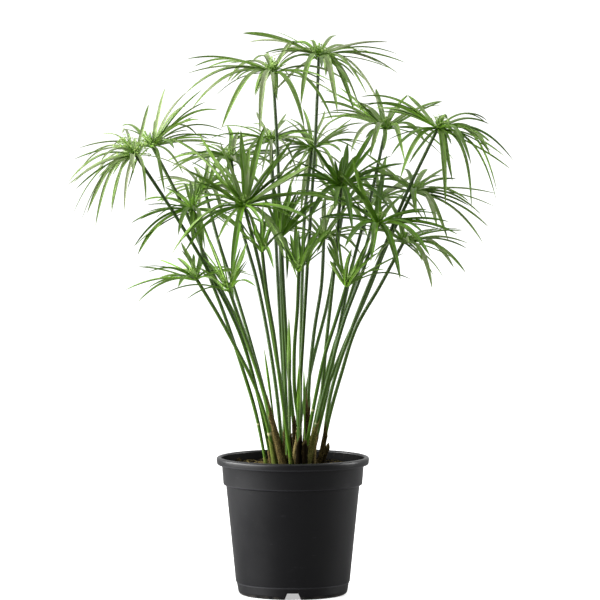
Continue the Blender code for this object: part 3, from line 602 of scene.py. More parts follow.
def buildRootstock(material, feet):
    # a low knobbly mound whose height swells round each culm's foot, falling off with the square
    # of the distance from it
    k = rootstock
    angle = np.linspace(0, 2 * np.pi, k["around"], endpoint=False)
    body = [(0.5, k["bottom"]), (k["radius"] - 0.4, k["bottom"]), (k["radius"], k["top"] - 3)]
    side = turnedSide(body, angle)
    radius = np.concatenate([np.linspace(k["radius"] - 0.8, 1.5, k["topRings"]), [0.4]])[:, None]
    x, y = radius * np.cos(angle), radius * np.sin(angle)
    away = np.hypot(x[..., None] - feet[:, 0], y[..., None] - feet[:, 1])
    swell = k["bulb"] * np.exp(-((away / k["bulbWidth"]) ** 2)).max(-1)
    shoulder = k["shoulder"] * (1 - ease((k["radius"] - radius) / k["shoulderWidth"]))
    z = k["top"] - 1.0 - shoulder + swell + k["lumps"] * (waves(x, y, 9, 8) + 0.5 * waves(x, y, 3.2, 9))
    grid = np.concatenate([side, np.stack([x, y, z], -1)]) * mm
    return addPiece("rootstock", [skinOf(grid, 0.42)], material, "rhizome", "rhizome")


def buildCrumbs(material):
    # lumps of peat and bark: three short rings of five corners each, stretched and turned at
    # random, lying on the soil
    rng = np.random.default_rng(11)
    n = soil["crumbs"]
    radius = soil["crumbReach"] * np.sqrt(rng.uniform(0.02, 1, n))
    angle = rng.uniform(0, 2 * np.pi, n)
    x, y = radius * np.cos(angle), radius * np.sin(angle)
    size = rng.uniform(*soil["crumbSize"], n) * (1 + (rng.random(n) > soil["usualCrumbs"]))
    heading, tilt = rng.uniform(0, 2 * np.pi, n), rng.normal(0, 0.5, n)
    axis = np.stack([np.cos(heading) * np.cos(tilt), np.sin(heading) * np.cos(tilt), np.sin(tilt)], -1)
    centre = np.stack([x, y, soilHeight(x, y) + size * 0.3 + 0.8 * (radius < rootstock["radius"])], -1)
    along = np.array([-1.0, 0.0, 1.0])[:, None] * rng.uniform(0.8, 1.9, (n, 1, 1)) * size[:, None, None]
    path = centre[:, None] + axis[:, None] * along
    girth = np.array([0.55, 1.0, 0.5]) * size[:, None] * rng.uniform(0.7, 1.2, (n, 3))
    rings = tubes(path, girth, 5, squareTo=(0, 0, 1.0))
    rings += rng.normal(0, soil["crumbRough"], rings.shape) * size[:, None, None, None]
    tone = rng.uniform(0.1, 0.95, n) - 0.4 * ease((radius - 36) / 16)
    return addPiece("soilCrumbs", [skinOf(rings * mm, tone)], material, "soil", crease=35)


def buildFibres(material):
    # dead rootlets: thin three-sided threads that lie on the soil, each bending two ways, with its
    # middle a little above its ends
    rng = np.random.default_rng(12)
    n = soil["fibres"]
    t = np.linspace(0, 1, 9)
    radius = soil["fibreReach"] * np.sqrt(rng.uniform(0.05, 1, n))
    angle = rng.uniform(0, 2 * np.pi, n)
    heading = rng.uniform(0, 2 * np.pi, n)
    length = rng.uniform(*soil["fibreLength"], n)
    go = np.stack([np.cos(heading), np.sin(heading)], -1)[:, None]
    sway = np.stack([-np.sin(heading), np.cos(heading)], -1)[:, None]
    bend = rng.normal(0, 0.22, (n, 1)) * np.sin(np.pi * t)
    bend = bend + rng.normal(0, 0.1, (n, 1)) * np.sin(2 * np.pi * t)
    flat = np.stack([radius * np.cos(angle), radius * np.sin(angle)], -1)[:, None]
    flat = flat + (go * (t - 0.5)[:, None] + sway * bend[..., None]) * length[:, None, None]
    flat *= np.minimum(1, soil["fibreLimit"] / np.linalg.norm(flat, axis=-1, keepdims=True))
    lift = 0.5 + rng.uniform(0.2, 1.6, (n, 1)) * np.sin(np.pi * t) + 0.8
    path = np.concatenate([flat, (soilHeight(flat[..., 0], flat[..., 1]) + lift)[..., None]], -1)
    girth = np.linspace(0.32, 0.12, 9) * rng.uniform(0.6, 1.3, (n, 1))
    rings = tubes(path, girth, 3, squareTo=(0, 0, 1.0))
    return addPiece("rootFibres", [skinOf(rings * mm, rng.uniform(0.4, 1, n))], material, "rhizome")


# Culms, sheaths and shoots

culm = {
    "seed": 100,
    "rings": 56,
    "sides": 12,
    # radii in mm: at the foot, over the sheath, and at the crown, which is reached at the height
    # of taperEnd
    "foot": 2.0,
    "feet": {1: 2.3, 7: 1.35, 8: 2.1, 9: 2.1, 10: 2.3, 14: 1.5, 17: 2.5, 20: 1.7, 21: 1.3},
    "girth": 1.95,
    "topGirth": 1.6,
    "taperEnd": 400,
    "sheathTop": 60.0,
    "lobes": 0.07,
    # heights of the pale leaf scars over the foot, their width and how far they stand out
    "scars": {1: (52,), 4: (30,), 7: (40,), 9: (32,), 10: (37, 50), 14: (39,), 17: (42,), 20: (58,)},
    "scarWidth": 0.7,
    "scarSwell": 0.28,
    "scarTone": 0.65,
    # small bends near the foot: across, at this height, fading over this height, all in mm
    "bends": {
        3: ((-3.4, 8, 42),),
        14: ((-3.6, 0, 22), (3.2, 42, 24)),
        16: ((3.2, 62, 42),),
        18: ((-3.2, 8, 42),),
    },
}
sheath = {
    "seed": 200,
    "rings": 16,
    "sides": 14,
    "gap": 0.35,
    "flare": 0.2,
    "endGirth": 1.6,
    # how far the mouth slants and how ragged it is, as shares of the height
    "slant": 0.42,
    "ragged": 0.09,
    "cut": 0.62,
    # how far the skin goes in and out of its round form, evenly and at random, in mm
    "ripple": (0.1, 0.05),
    # height over the rootstock in mm, extra girth at the foot in mm, tone from dark to tan; sheath 13's low
    # tone and the tones below zero are painted shade among the culms' feet
    "culms": {
        1: (14, 0.4, 0.3), 2: (42, 2.2, -0.15), 4: (19, 0.7, 0.25), 6: (15, 0.6, 0.5), 7: (9, 0.2, 0.75),
        8: (73, 2.3, 0.4), 9: (28, 0.3, 0.5), 10: (10, 0.4, 0.2), 12: (13, 0.5, 0.3), 13: (51, 4.2, 0.15),
        14: (36, 0.1, 0.95), 15: (34, 2.0, -0.2), 16: (30, 1.2, -0.1), 17: (58, 2.0, 0.5),
        19: (44, 1.0, 0.2), 20: (31, 1.2, -0.2), 21: (44, 0.9, 0.8), 22: (84, 2.5, 0.15),
        24: (26, 1.0, -0.1), 25: (24, 0.6, 0.4),
    },
    # the same for shoots, which are numbered on from 30; their tones below zero are painted shade among the
    # culms' feet
    "shootsFrom": 30,
    "shoots": {31: (34, 0.7, -0.3), 33: (33, 0.9, -0.35), 34: (29, 0.9, -0.25)},
    "green": {7: 0.6, 9: 0.45, 12: 0.3, 17: 0.2},
}


def ringCentres(node, sides):
    # a stalk solid's rings from its foot to its top, as their middle points and mean radii
    bm = cornersOf(node)
    points = np.array([v.co for v in bm.verts])
    bm.free()
    points = points[np.argsort(points[:, 2])].reshape(-1, sides, 3)
    centres = points.mean(axis=1)
    return centres, np.linalg.norm(points - centres[:, None], axis=-1).mean(axis=1)


def culmGirth(height, number):
    # its own girth at the foot, the usual one above the sheath, then a slow taper to the crown;
    # height is in mm over the foot
    swell = np.maximum(0, 1 - height / culm["sheathTop"]) ** 1.5
    taper = np.minimum(1, height / culm["taperEnd"])
    foot = culm["feet"].get(number, culm["foot"])
    return culm["girth"] + (culm["topGirth"] - culm["girth"]) * taper + (foot - culm["girth"]) * swell


def buildCulm(number, path, material):
    # a rounded-triangular stalk along the path; at each leaf scar it swells by a bell curve of the
    # height
    rng = np.random.default_rng(culm["seed"] + number)
    height = (path[:, 2] - path[0, 2]) / mm
    scars = np.array(culm["scars"].get(number, ()), float)
    scar = np.exp(-(((height[:, None] - scars) / culm["scarWidth"]) ** 2)).sum(-1)
    girth = culmGirth(height, number) + culm["scarSwell"] * scar
    grid = tubes(path, girth * mm, culm["sides"], rng.uniform(0, 2 * np.pi), culm["lobes"])
    tone = np.full(len(path), rng.uniform(0.1, 0.75))
    made = skinOf(grid, tone[None], np.minimum(scar, 1)[None] * culm["scarTone"])
    return addPiece(f"culm_{number:02d}", [made], material, "culm", f"stem_{number:02d}")


def culmPath(number, centres):
    # the smooth curve through the solid's rings, with closely spaced points at the leaf scars; each
    # small bend shifts it across by a bell curve of the height
    extra = culm["scars"].get(number, ())
    share = np.linspace(0, 1, culm["rings"])
    if len(extra):
        span = (centres[-1, 2] - centres[0, 2]) / mm
        share = np.sort(np.concatenate([share] + [(h + np.linspace(-2, 2, 7)) / span for h in extra]))
    path = through(centres, share)
    height = (path[:, 2] - path[0, 2]) / mm
    for shift, at, fade in culm["bends"].get(number, ()):
        path[:, 0] += shift * np.exp(-(((height - at) / fade) ** 2)) * mm
    return path


def buildSheath(number, path, material):
    # a papery sleeve round the foot of a culm: it leaves the culm at the bottom, narrows upwards,
    # and its mouth slants and flares before it turns back in
    rng = np.random.default_rng(sheath["seed"] + number)
    usual = (rng.uniform(17, 34), rng.uniform(0.4, 1.1), rng.uniform(0.2, 0.65))
    tall, extra, tone = {**sheath["culms"], **sheath["shoots"]}.get(number, usual)
    height = (path[:, 2] - path[0, 2]) / mm
    t = np.concatenate([[0.0, 0.0], np.linspace(0.03, 1, sheath["rings"] - 3), [1.0]])
    spine = np.stack([np.interp(t * tall, height, path[:, i]) for i in range(3)], -1)
    girth = culmGirth(t * tall, number) + sheath["gap"] + extra * (1 - t) ** 1.3
    girth = girth + sheath["flare"] * ease((t - 0.85) / 0.15)
    girth[0] = girth[-1] = sheath["endGirth"]
    start = rng.uniform(0, 2 * np.pi)
    grid = tubes(spine, girth * mm, sheath["sides"], start)
    angle = 2 * np.pi * np.arange(sheath["sides"]) / sheath["sides"]
    mouth = sheath["slant"] * (1 + np.cos(angle)) + sheath["ragged"] * rng.random(sheath["sides"])
    slant = np.clip(t - 0.35, 0, 1)[:, None] * mouth
    direction = unit(path[8] - path[0])
    grid = grid - slant[..., None] * direction * tall * mm * sheath["cut"]
    even, rough = sheath["ripple"]
    ripple = even * np.sin(5 * angle + start) * t[:, None]
    ripple = ripple + rough * rng.normal(0, 1, (len(t), sheath["sides"]))
    grid = grid + ripple[..., None] * mm * unit(grid - spine[:, None])
    made = skinOf(grid, tone, sheath["green"].get(number, 0.0))
    ofShoot = number - sheath["shootsFrom"]
    name = f"shootSheath_{ofShoot}" if ofShoot > 0 else f"sheath_{number:02d}"
    return addPiece(name, [made], material, "rhizome")


shoot = {
    "seed": 300,
    "rings": 34,
    "sides": 12,
    "ridges": 0.12,
    "depth": 0.62,
    # height over the foot below which a shoot is dark, as painted shade among the culms' feet, and over how
    # much height it turns green
    "shadeTop": {1: 98, 2: 60, 3: 52, 4: 75, 5: 45},
    "shadeFade": 22.0,
}


def buildShoot(number, material):
    # a young rolled leaf: a flattened tube with three low ridges, which swells past its middle and
    # then narrows to a point by one minus the fifth power of its length
    centres, radii = ringCentres(f"shoot_{number}", 4)
    rng = np.random.default_rng(shoot["seed"] + number)
    share = np.linspace(0, 1, shoot["rings"])
    length = np.linalg.norm(centres - centres[0], axis=1)
    spots = length / length[-1]
    path = np.stack([np.interp(share, spots, centres[:, i]) for i in range(3)], -1)
    path[:, 0] += np.sin(np.pi * share) * rng.uniform(-0.6, 0.6) * mm
    girth = radii.max() * (0.6 + 0.5 * ease((share - 0.45) / 0.35)) * (1 - share**5) ** 0.9
    grid = tubes(path, girth, shoot["sides"], rng.uniform(0, 6.28), shoot["ridges"])
    spine = path[:, None]
    grid = spine + (grid - spine) * np.array([1.0, shoot["depth"], 1.0])
    height = (path[:, 2] - path[0, 2]) / mm
    # painted shade: the shoot is dark low down, then its tone and green rise over the given height
    outOfShade = ease((height - shoot["shadeTop"][number]) / shoot["shadeFade"])
    made = skinOf(grid, (0.1 + 0.5 * outOfShade)[None], (0.85 * outOfShade)[None])
    addPiece(f"youngShoot_{number}", [made], material, "shoot", f"shoot_{number}")
    return path


# Crowns

crown = {
    "seed": 400,
    # a bract's fold, its thickness at keel and edge in mm, and how it turns about its middle line
    "fold": 0.55,
    "keel": 0.42,
    "edge": 0.05,
    "twist": 0.4,
    "roll": 0.18,
    "widen": 0.96,
    # its share of the width at the root, where it is fully wide, and how late it narrows
    "rootWidth": 0.6,
    "wideFrom": 0.28,
    "tipPower": 5.5,
    # how much the tone differs among the main, the slender and the thin bracts
    "toneSpread": (0.15, 0.1, 0.18),
    # crowns whose bracts are narrower than their solids, as a share of the width
    "narrow": {
        5: 0.8, 6: 0.58, 7: 0.9, 8: 0.8, 9: 0.95, 12: 0.8, 13: 0.86, 14: 0.82, 15: 0.7, 20: 0.8, 23: 0.65,
    },
    # how far the middle of a hanging bract arches over its chord, as a share of its length
    "arch": {1: 0.03, 3: 0.05, 4: 0.09, 5: 0.04, 6: 0.06, 7: 0.05, 17: 0.03, 18: 0.06, 19: 0.04},
    "usualArch": 0.02,
    "sway": 1.1,
    # young crowns that have not spread: their thin bracts are fewer and all stand up
    "upright": (8, 12, 13, 14, 20),
    # how much paler the slender bracts are; partly painted light: crown 10's slender bracts hang in the
    # shade of other crowns and are made paler as if lit
    "slenderLight": {10: 0.28},
    "usualSlenderLight": 0.05,
    # more thin bracts in the crowns at the back
    "lush": {6: -3, 11: 5, 12: 4, 13: 8, 15: 6, 16: 5, 21: 4, 22: 2, 23: 3},
    "hubEdge": 7.0,
    "hubRadius": 3.6,
    "hubGap": 2.0,
    "rootReach": 2.4,
    # the knot: distance from the hub along the axis, and radius
    "knot": ((-1.9, 1.75), (-1.2, 2.5), (0, 3.2), (1.4, 2.9), (2.6, 1.9), (3.6, 0.5)),
    # for a solid bract of so many rings: which is its widest, how far along the bract that is, and
    # its share of the full width
    "widestRing": {3: (1, 0.48, 1.0), 2: (0, 0.66, 0.88)},
}
# how pale (0 dark to 1 pale) and how fresh the bracts of a crown look; partly painted light and shade:
# crowns on the outside of the plant are paler, where light falls on them, and crowns inside it darker, where
# shade falls
crownToneAndLight = {
    1: (0.72, 0.0), 2: (0.76, 0.0), 3: (0.56, 0.05), 4: (0.48, 0.0), 5: (0.66, 0.02), 6: (0.88, 0.04),
    7: (0.42, 0.15), 8: (0.44, 0.2), 9: (0.92, 0.6), 10: (0.46, 0.14), 11: (0.72, 0.1), 12: (0.28, 0.2),
    13: (0.05, 0.15), 14: (0.26, 0.18), 15: (0.7, 0.05), 16: (0.0, 0.15), 17: (0.2, 0.15),
    18: (0.58, 0.02), 19: (0.74, 0.15), 20: (0.34, 0.12), 21: (0.72, 0.05), 22: (0.74, 0.05),
    23: (0.7, 0.05), 24: (0.74, 0.05), 25: (0.9, 0.08),
}
thinBract = {
    "perCrown": (12, 17),
    # a crown with this many main bracts has the fewest thin ones
    "fullCrown": 15,
    "width": (2.2, 5.4),
    # length and drop as shares of the nearest main bract's, and the lift, mean and spread, in mm
    "share": (0.62, 1.02),
    "drop": (0.1, 0.8),
    "lift": (4, 6),
    "steepest": 0.6,
    "arch": (0.1, 0.24),
}
# the same in the crowns that stand upright: one in three, shorter, steeper, straighter and thinner
uprightBract = {"oneIn": 3, "reach": 0.8, "rise": (0.5, 0.92), "arch": 0.3, "width": 0.7}
innerBract = {
    "perCrown": (9, 14),
    "uprightOneIn": 2,
    "lean": (0.35, 1.15),
    "length": (7, 19),
    "width": (0.9, 2.0),
    "arch": (0, 2.5),
}
# bracts that show plainly in the outline but are too slender for the solids: the tip from the
# hub as (across, back, up), how high the middle arches over the chord, and the width, all in mm
slender = {
    1: [(-68, 70, 1, 10, 4.5), (-24, 92, 3, 14, 4.5), (-19, 88, -27, 12, 5), (-18, -24, -24, 7, 4),
        (26, 30, 30, 9, 4.5), (-44, 40, -12, 12, 5), (5, -30, -28, 8, 4)],
    2: [(19, 80, 17, 6, 4.5), (47, 82, -5, 12, 5), (-10, 40, 14, 4, 4), (44, -30, -62, 22, 5),
        (-40, -30, -8, 10, 5)],
    3: [(-62, 20, 0, 14, 5), (-34, 50, 24, 8, 4.5), (20, 60, 18, 8, 4.5), (57, 12, 27, 5, 6),
        (23, 8, 33, 5, 5.5)],
    4: [(51, 40, 2, 13, 3.5), (-75, 10, 21, 13, 5), (52, 60, 4, 12, 4.5), (30, -50, -36, 16, 5.5),
        (14, -40, -52, 16, 5)],
    5: [(13, 30, 58, 6, 4.5), (34, 10, 40, 8, 5), (58, 20, 6, 9, 4.5)],
    6: [(-66, -20, -27, 14, 5), (-47, -35, -58, 18, 5), (-32, -60, -4, 10, 5), (-38, 20, 2, 8, 4.5)],
    7: [(16, 10, 44, 3, 6), (-28, -8, 22, 4, 5), (56, 10, -32, 10, 6), (26, -16, -58, 9, 6),
        (10, -24, -40, 10, 6)],
    8: [(-20, 4, 52, 2, 5.5), (-25, -14, 40, 3, 4), (18, 8, 46, 2, 4.5), (12, -12, 44, 2, 3.5)],
    10: [(50, 14, 65, 4, 5.5), (32, 22, 43, 3, 4.5), (-40, 8, 58, 4, 5), (41, -42, -52, 16, 5.5),
         (53, -40, -70, 22, 6), (-26, -34, -34, 9, 4.5), (-48, 10, 4, 8, 5), (16, 36, 60, 4, 4.5),
         (40, 28, 50, 4, 5), (6, 32, 58, 3, 4.5), (-24, 26, 62, 4, 5), (60, 22, 42, 6, 4.5),
         (-71, -30, -47, 18, 6.5), (-20, 8, 40, 4, 6), (-30, -8, 30, 5, 6)],
    13: [(10, 24, 52, 3, 6), (26, 28, 46, 3, 6.5), (40, -30, 38, 5, 6.5), (-8, -22, 52, 2, 5.5),
         (18, -26, 48, 3, 6), (-20, 24, 44, 3, 5.5)],
    14: [(-19, 4, 37, 2, 5.5), (0, -6, 40, 1, 5), (30, 8, 40, 3, 5.5), (11, -10, 44, 2, 4)],
    15: [(-58, 10, -22, 14, 5), (-52, -10, -38, 14, 5.5), (-44, 20, -55, 14, 5.5),
         (-30, -14, -62, 14, 6), (-12, 16, -68, 10, 5.5), (55, 6, 25, 8, 4.5), (53, 20, 13, 8, 4)],
    16: [(64, 10, 22, 5, 6), (-6, 4, 26, 1, 6), (-12, -4, 22, 2, 5.5), (2, -6, 30, 1, 6),
         (6, 4, 24, 1, 5), (-28, 6, 12, 4, 5), (-30, 8, -30, 10, 5)],
    20: [(-19, 6, 42, 2, 4.5), (24, 10, 46, 2, 5.5), (24, -6, 36, 2, 4.5)],
}
tuft = {
    "seed": 500,
    "rays": 32,
    "length": (3.2, 8.2),
    "rayGirth": 0.26,
    "eachRay": 3,
    # how far the outermost rays lean, how much more in a rich crown, and how the spikelets spread
    "lean": 1.05,
    "richLean": 0.25,
    "spread": 0.55,
    # a spikelet's length, and its rings: how far along it they are, and their radius in mm
    "spikelet": (0.9, 1.9),
    "spindle": ((0.0, 0.12), (0.25, 0.36), (0.55, 0.42), (0.85, 0.26), (1.0, 0.05)),
    # crowns in fuller flower than the others
    "rich": {1: 1.5, 2: 1.2, 4: 1.5, 5: 2.1, 6: 3.1, 7: 0.5, 11: 1.4},
    # the rays' rings start square to this direction, which no ray follows
    "squareTo": (0.31, 0.52, 0.8),
}


def readCrown(node, hub):
    # the bracts of a crown's solid: from each far corner with three edges, ring by ring of three
    # corners back to the hub; a ring's keel is the corner nearest the middle of the other two
    bm = cornersOf(node)
    found = []
    for tip in bm.verts:
        if len(tip.link_edges) != 3 or (tip.co - hub).length < 0.02:
            continue
        seen, rings = {tip}, []
        ring = {e.other_vert(tip) for e in tip.link_edges}
        while len(ring) == 3 and min((v.co - hub).length for v in ring) > crown["hubEdge"] * mm:
            a, b, c = [v.co for v in sorted(ring, key=lambda v: v.index)]
            choices = [((a - (b + c) / 2).length, b, c), ((b - (a + c) / 2).length, a, c),
                       ((c - (a + b) / 2).length, a, b)]
            _, left, right = min(choices, key=lambda o: o[0])
            rings.append(((left + right) / 2, (left - right).length))
            seen |= ring
            ring = {e.other_vert(v) for v in ring for e in v.link_edges} - seen
        found.append((tip.co.copy(), rings))
    bm.free()
    return found


def bractFrames(node, hub, axis):
    # root, control point, tip and width of each bract: its curve is the parabola that leaves the
    # hub, passes the widest station and ends at the tip
    rows = []
    for tip, rings in readCrown(node, hub):
        if len(rings) not in crown["widestRing"]:
            continue
        pick, t, part = crown["widestRing"][len(rings)]
        outward = (tip - hub) - axis * (tip - hub).dot(axis)
        root = hub + outward.normalized() * crown["hubRadius"] * 0.75 * mm
        middle, wide = rings[pick]
        control = (middle - root * (1 - t) ** 2 - tip * t * t) / (2 * t * (1 - t))
        rows.append((root, control, tip, wide / part))
    root, control, tip = (np.array([r[i] for r in rows]) for i in range(3))
    # hanging bracts arch further, at right angles to their chord
    chord = tip - root
    length = np.linalg.norm(chord, axis=1, keepdims=True)
    over = unit(np.array([0, 0, 1.0]) - chord * chord[:, 2:] / length**2)
    hang = np.clip(-1.6 * chord[:, 2:] / length, 0, 1)
    arch = crown["arch"].get(int(node[-2:]), crown["usualArch"])
    control = control + over * hang * length * 2 * arch
    return root, control, tip, np.array([r[3] for r in rows])


def blades(root, control, tip, width, rng, rows=15, stiff=1.0):
    # each bract is a thin closed blade of four corners a ring: left edge, channel, right edge and
    # keel. Its middle line is the parabola of root, control and tip with a slight sway; the blade
    # turns about it by a growing twist, and its half width rises from the root, then falls to the tip
    n = len(root)
    s = np.linspace(0, 1, rows) ** 0.92
    t = s[None, :, None]
    line = root[:, None] * (1 - t) ** 2 + control[:, None] * 2 * t * (1 - t) + tip[:, None] * t**2
    flat = (tip - root) * np.array([1, 1, 0])
    side = unit(np.cross([0, 0, 1.0], flat))[:, None]
    bend = crown["sway"] * mm * stiff * rng.normal(0, 1, (n, 1)) * np.sin(np.pi * s)
    bend = bend + 0.45 * crown["sway"] * mm * stiff * rng.normal(0, 1, (n, 1)) * np.sin(2 * np.pi * s)
    line = line + side * bend[..., None]
    ahead = unit(np.gradient(line, axis=1))
    up = unit(np.cross(ahead, side))
    side = np.cross(up, ahead)
    turn = crown["twist"] * rng.normal(0, 1, (n, 1)) * s**1.5 + crown["roll"] * rng.normal(0, 1, (n, 1))
    turn = turn[..., None]
    side, up = side * np.cos(turn) + up * np.sin(turn), up * np.cos(turn) - side * np.sin(turn)
    shape = crown["rootWidth"] + (1 - crown["rootWidth"]) * ease(s / crown["wideFrom"])
    shape = shape * (1 - s ** crown["tipPower"]) ** 0.9
    half = (width[:, None] / 2 * crown["widen"] * shape)[..., None]
    thin = np.minimum(crown["edge"] * mm + 0.12 * half, crown["keel"] * mm)
    left, right = line + side * half, line - side * half
    channel = line - up * half * crown["fold"] + up * thin * 0.3
    keel = line - up * half * crown["fold"] - up * thin
    return np.stack([left, channel, right, keel], axis=2)


def bladeSkin(grid, tone, fresh):
    # fresher towards the hub, darker towards the tip
    s = np.linspace(1, 0, grid.shape[1])
    young = np.clip(fresh[:, None] + 0.8 * s**5, 0, 1)
    return skinOf(grid, tone[:, None] - 0.25 * (1 - s) ** 2, young, across=(0, 0.5, 1, 0.5, 0))


def thinOnes(hub, upright, more, tip, rng):
    # thinner bracts in the widest gaps between the others, shorter and held higher; in a young
    # crown they rise by half to nearly all of their length
    k, young = thinBract, uprightBract
    fewest, most = k["perCrown"]
    most = most if len(tip) < k["fullCrown"] else fewest
    turn = np.arctan2(tip[:, 1] - hub[1], tip[:, 0] - hub[0])
    order = np.sort(turn)
    gaps = np.diff(np.append(order, order[0] + 2 * np.pi))
    count = int(rng.integers(fewest, most + 1)) // (young["oneIn"] if upright else 1) + more
    widest = np.resize(np.argsort(-gaps), count)
    angle = order[widest] + gaps[widest] * rng.uniform(0.25, 0.75, count)
    nearest = np.abs((turn[None] - angle[:, None] + np.pi) % (2 * np.pi) - np.pi).argmin(1)
    beside = (tip - hub)[nearest]
    reach = np.linalg.norm(beside, axis=1) * rng.uniform(*k["share"], count)
    drop = beside[:, 2] * rng.uniform(*k["drop"], count) + rng.normal(*k["lift"], count) * mm
    drop = np.clip(drop, -k["steepest"] * reach, k["steepest"] * reach)
    if upright:
        reach = reach * young["reach"]
        drop = reach * rng.uniform(*young["rise"], count)
    flat = np.sqrt(reach**2 - drop**2)
    newTip = hub + np.stack([np.cos(angle) * flat, np.sin(angle) * flat, drop], -1)
    newRoot = hub + unit(newTip - hub) * crown["rootReach"] * mm
    rise = rng.uniform(*k["arch"], count) * reach * (young["arch"] if upright else 1)
    control = (newRoot + newTip) / 2 + np.array([0, 0, 1.0]) * rise[:, None]
    width = rng.uniform(*k["width"], count) * mm * (young["width"] if upright else 1)
    return newRoot, control, newTip, width


def slenderOnes(hub, rows):
    # root, control point, tip and width of the slender bracts: the control point stands over the
    # middle of the chord by twice the arch
    tip = np.array(hub) + rows[:, :3] * mm
    root = np.array(hub) + unit(tip - hub) * crown["rootReach"] * mm
    control = (root + tip) / 2 + np.array([0, 0, 2.0]) * rows[:, 3:4] * mm
    return root, control, tip, rows[:, 4] * mm


def leaning(axis, angle, lean):
    # directions that lean out from the axis, each by its own angle: the level direction times the
    # lean's sine plus the axis times its cosine; and those level directions
    flat = np.stack([np.cos(angle), np.sin(angle), 0 * angle], -1)
    return unit(flat * np.sin(lean)[:, None] + axis * np.cos(lean)[:, None]), flat


def innerOnes(hub, axis, upright, rng):
    # the short young bracts that stand up in the middle of a crown: evenly spread round the axis
    # with some play, each leaning out from it by its own angle
    k = innerBract
    count = int(rng.integers(*k["perCrown"])) // (k["uprightOneIn"] if upright else 1)
    angle = 2 * np.pi * (np.arange(count) + rng.uniform(0, 0.7, count)) / count
    go, flat = leaning(axis, angle, rng.uniform(*k["lean"], count))
    tip = hub + go * rng.uniform(*k["length"], count)[:, None] * mm
    root = hub + axis * 1.2 * mm + flat * 1.2 * mm
    control = (root + tip) / 2 + axis * rng.uniform(*k["arch"], count)[:, None] * mm
    return root, control, tip, rng.uniform(*k["width"], count) * mm


def hubSkin(hub, axis):
    # the knot where the bracts meet: a squat turned bud along the culm's end
    along, girth = np.array(crown["knot"], float).T
    spine = np.array(hub) + along[:, None] * np.array(axis) * mm
    return skinOf(tubes(spine, girth * mm, 12), 0.55, 0.5)


def buildCrown(number, hub, axis, material):
    # the main bracts along those of the solid, then the slender, the thin and the inner ones, and
    # the knot that joins them
    rng = np.random.default_rng(crown["seed"] + number)
    node = f"crown_{number:02d}"
    root, control, tip, width = bractFrames(node, Vector(hub), Vector(axis))
    # the crown's tone, partly painted light and shade
    tone, fresh = crownToneAndLight[number]
    ofMain, ofSlender, ofThin = crown["toneSpread"]
    n = len(root)
    main = blades(root, control, tip, width * crown["narrow"].get(number, 1.0), rng)
    tones = tone + rng.normal(0, ofMain, n)
    skins = [bladeSkin(main, tones, np.clip(fresh + rng.normal(0, 0.1, n), 0, 1))]
    if number in slender:
        known = slenderOnes(hub, np.array(slender[number], float))
        m = len(known[0])
        paler = tone + crown["slenderLight"].get(number, crown["usualSlenderLight"])
        grid = blades(*known, rng, 13)
        skins.append(bladeSkin(grid, paler + rng.normal(0, ofSlender, m), np.full(m, fresh)))
    upright = number in crown["upright"]
    extra = thinOnes(np.array(hub), upright, crown["lush"].get(number, 0), tip, rng)
    m = len(extra[0])
    grid = blades(*extra, rng, 13)
    skins.append(bladeSkin(grid, tone + rng.normal(0, ofThin, m), np.full(m, fresh)))
    inner = innerOnes(np.array(hub), np.array(axis), upright, rng)
    m = len(inner[0])
    skins.append(bladeSkin(blades(*inner, rng, 7, 0.3), np.full(m, tone), rng.uniform(0.4, 0.9, m)))
    skins.append(hubSkin(hub, axis))
    return addPiece(f"bracts_{number:02d}", skins, material, "bract", node, crease=35)


def buildTuft(number, hub, axis, material):
    # the flower head: thin rays that spread from the hub, each with a few pointed spikelets at its
    # end. A ray is a three-sided thread, and a spikelet a four-sided spindle
    rng = np.random.default_rng(tuft["seed"] + number)
    rich = tuft["rich"].get(number, 1.0)
    n = int(tuft["rays"] * rich)
    hub, axis = np.array(hub), np.array(axis)
    angle = rng.uniform(0, 2 * np.pi, n)
    go, _ = leaning(axis, angle, rng.uniform(0.0, tuft["lean"] + tuft["richLean"] * rich, n))
    length = rng.uniform(*tuft["length"], n) * rich**0.75
    t = np.linspace(0, 1, 4)[:, None]
    start = hub + axis * 2.2 * mm + go * 0.8 * mm
    ends = start + go * length[:, None] * mm
    rays = start[:, None] + (ends - start)[:, None] * t
    threads = tubes(rays, np.full(rays.shape[:2], tuft["rayGirth"]) * mm, 3, squareTo=tuft["squareTo"])
    each = tuft["eachRay"]
    away = unit(np.repeat(go, each, axis=0) + rng.normal(0, tuft["spread"], (n * each, 3)))
    size = rng.uniform(*tuft["spikelet"], n * each) * (0.8 + 0.25 * rich)
    base = np.repeat(ends, each, axis=0)
    share, girth = np.array(tuft["spindle"]).T
    line = base[:, None] + away[:, None] * (share[:, None] * size[:, None, None]) * mm
    girth = girth * rng.uniform(0.8, 1.2, (n * each, 1)) * mm
    heads = tubes(line, girth, 4, squareTo=tuft["squareTo"])
    skins = [skinOf(threads, rng.uniform(0.0, 0.5, n)), skinOf(heads, rng.uniform(0.05, 0.85, n * each))]
    return addPiece(f"spikelets_{number:02d}", skins, material, "shoot")


# Floor, light and camera

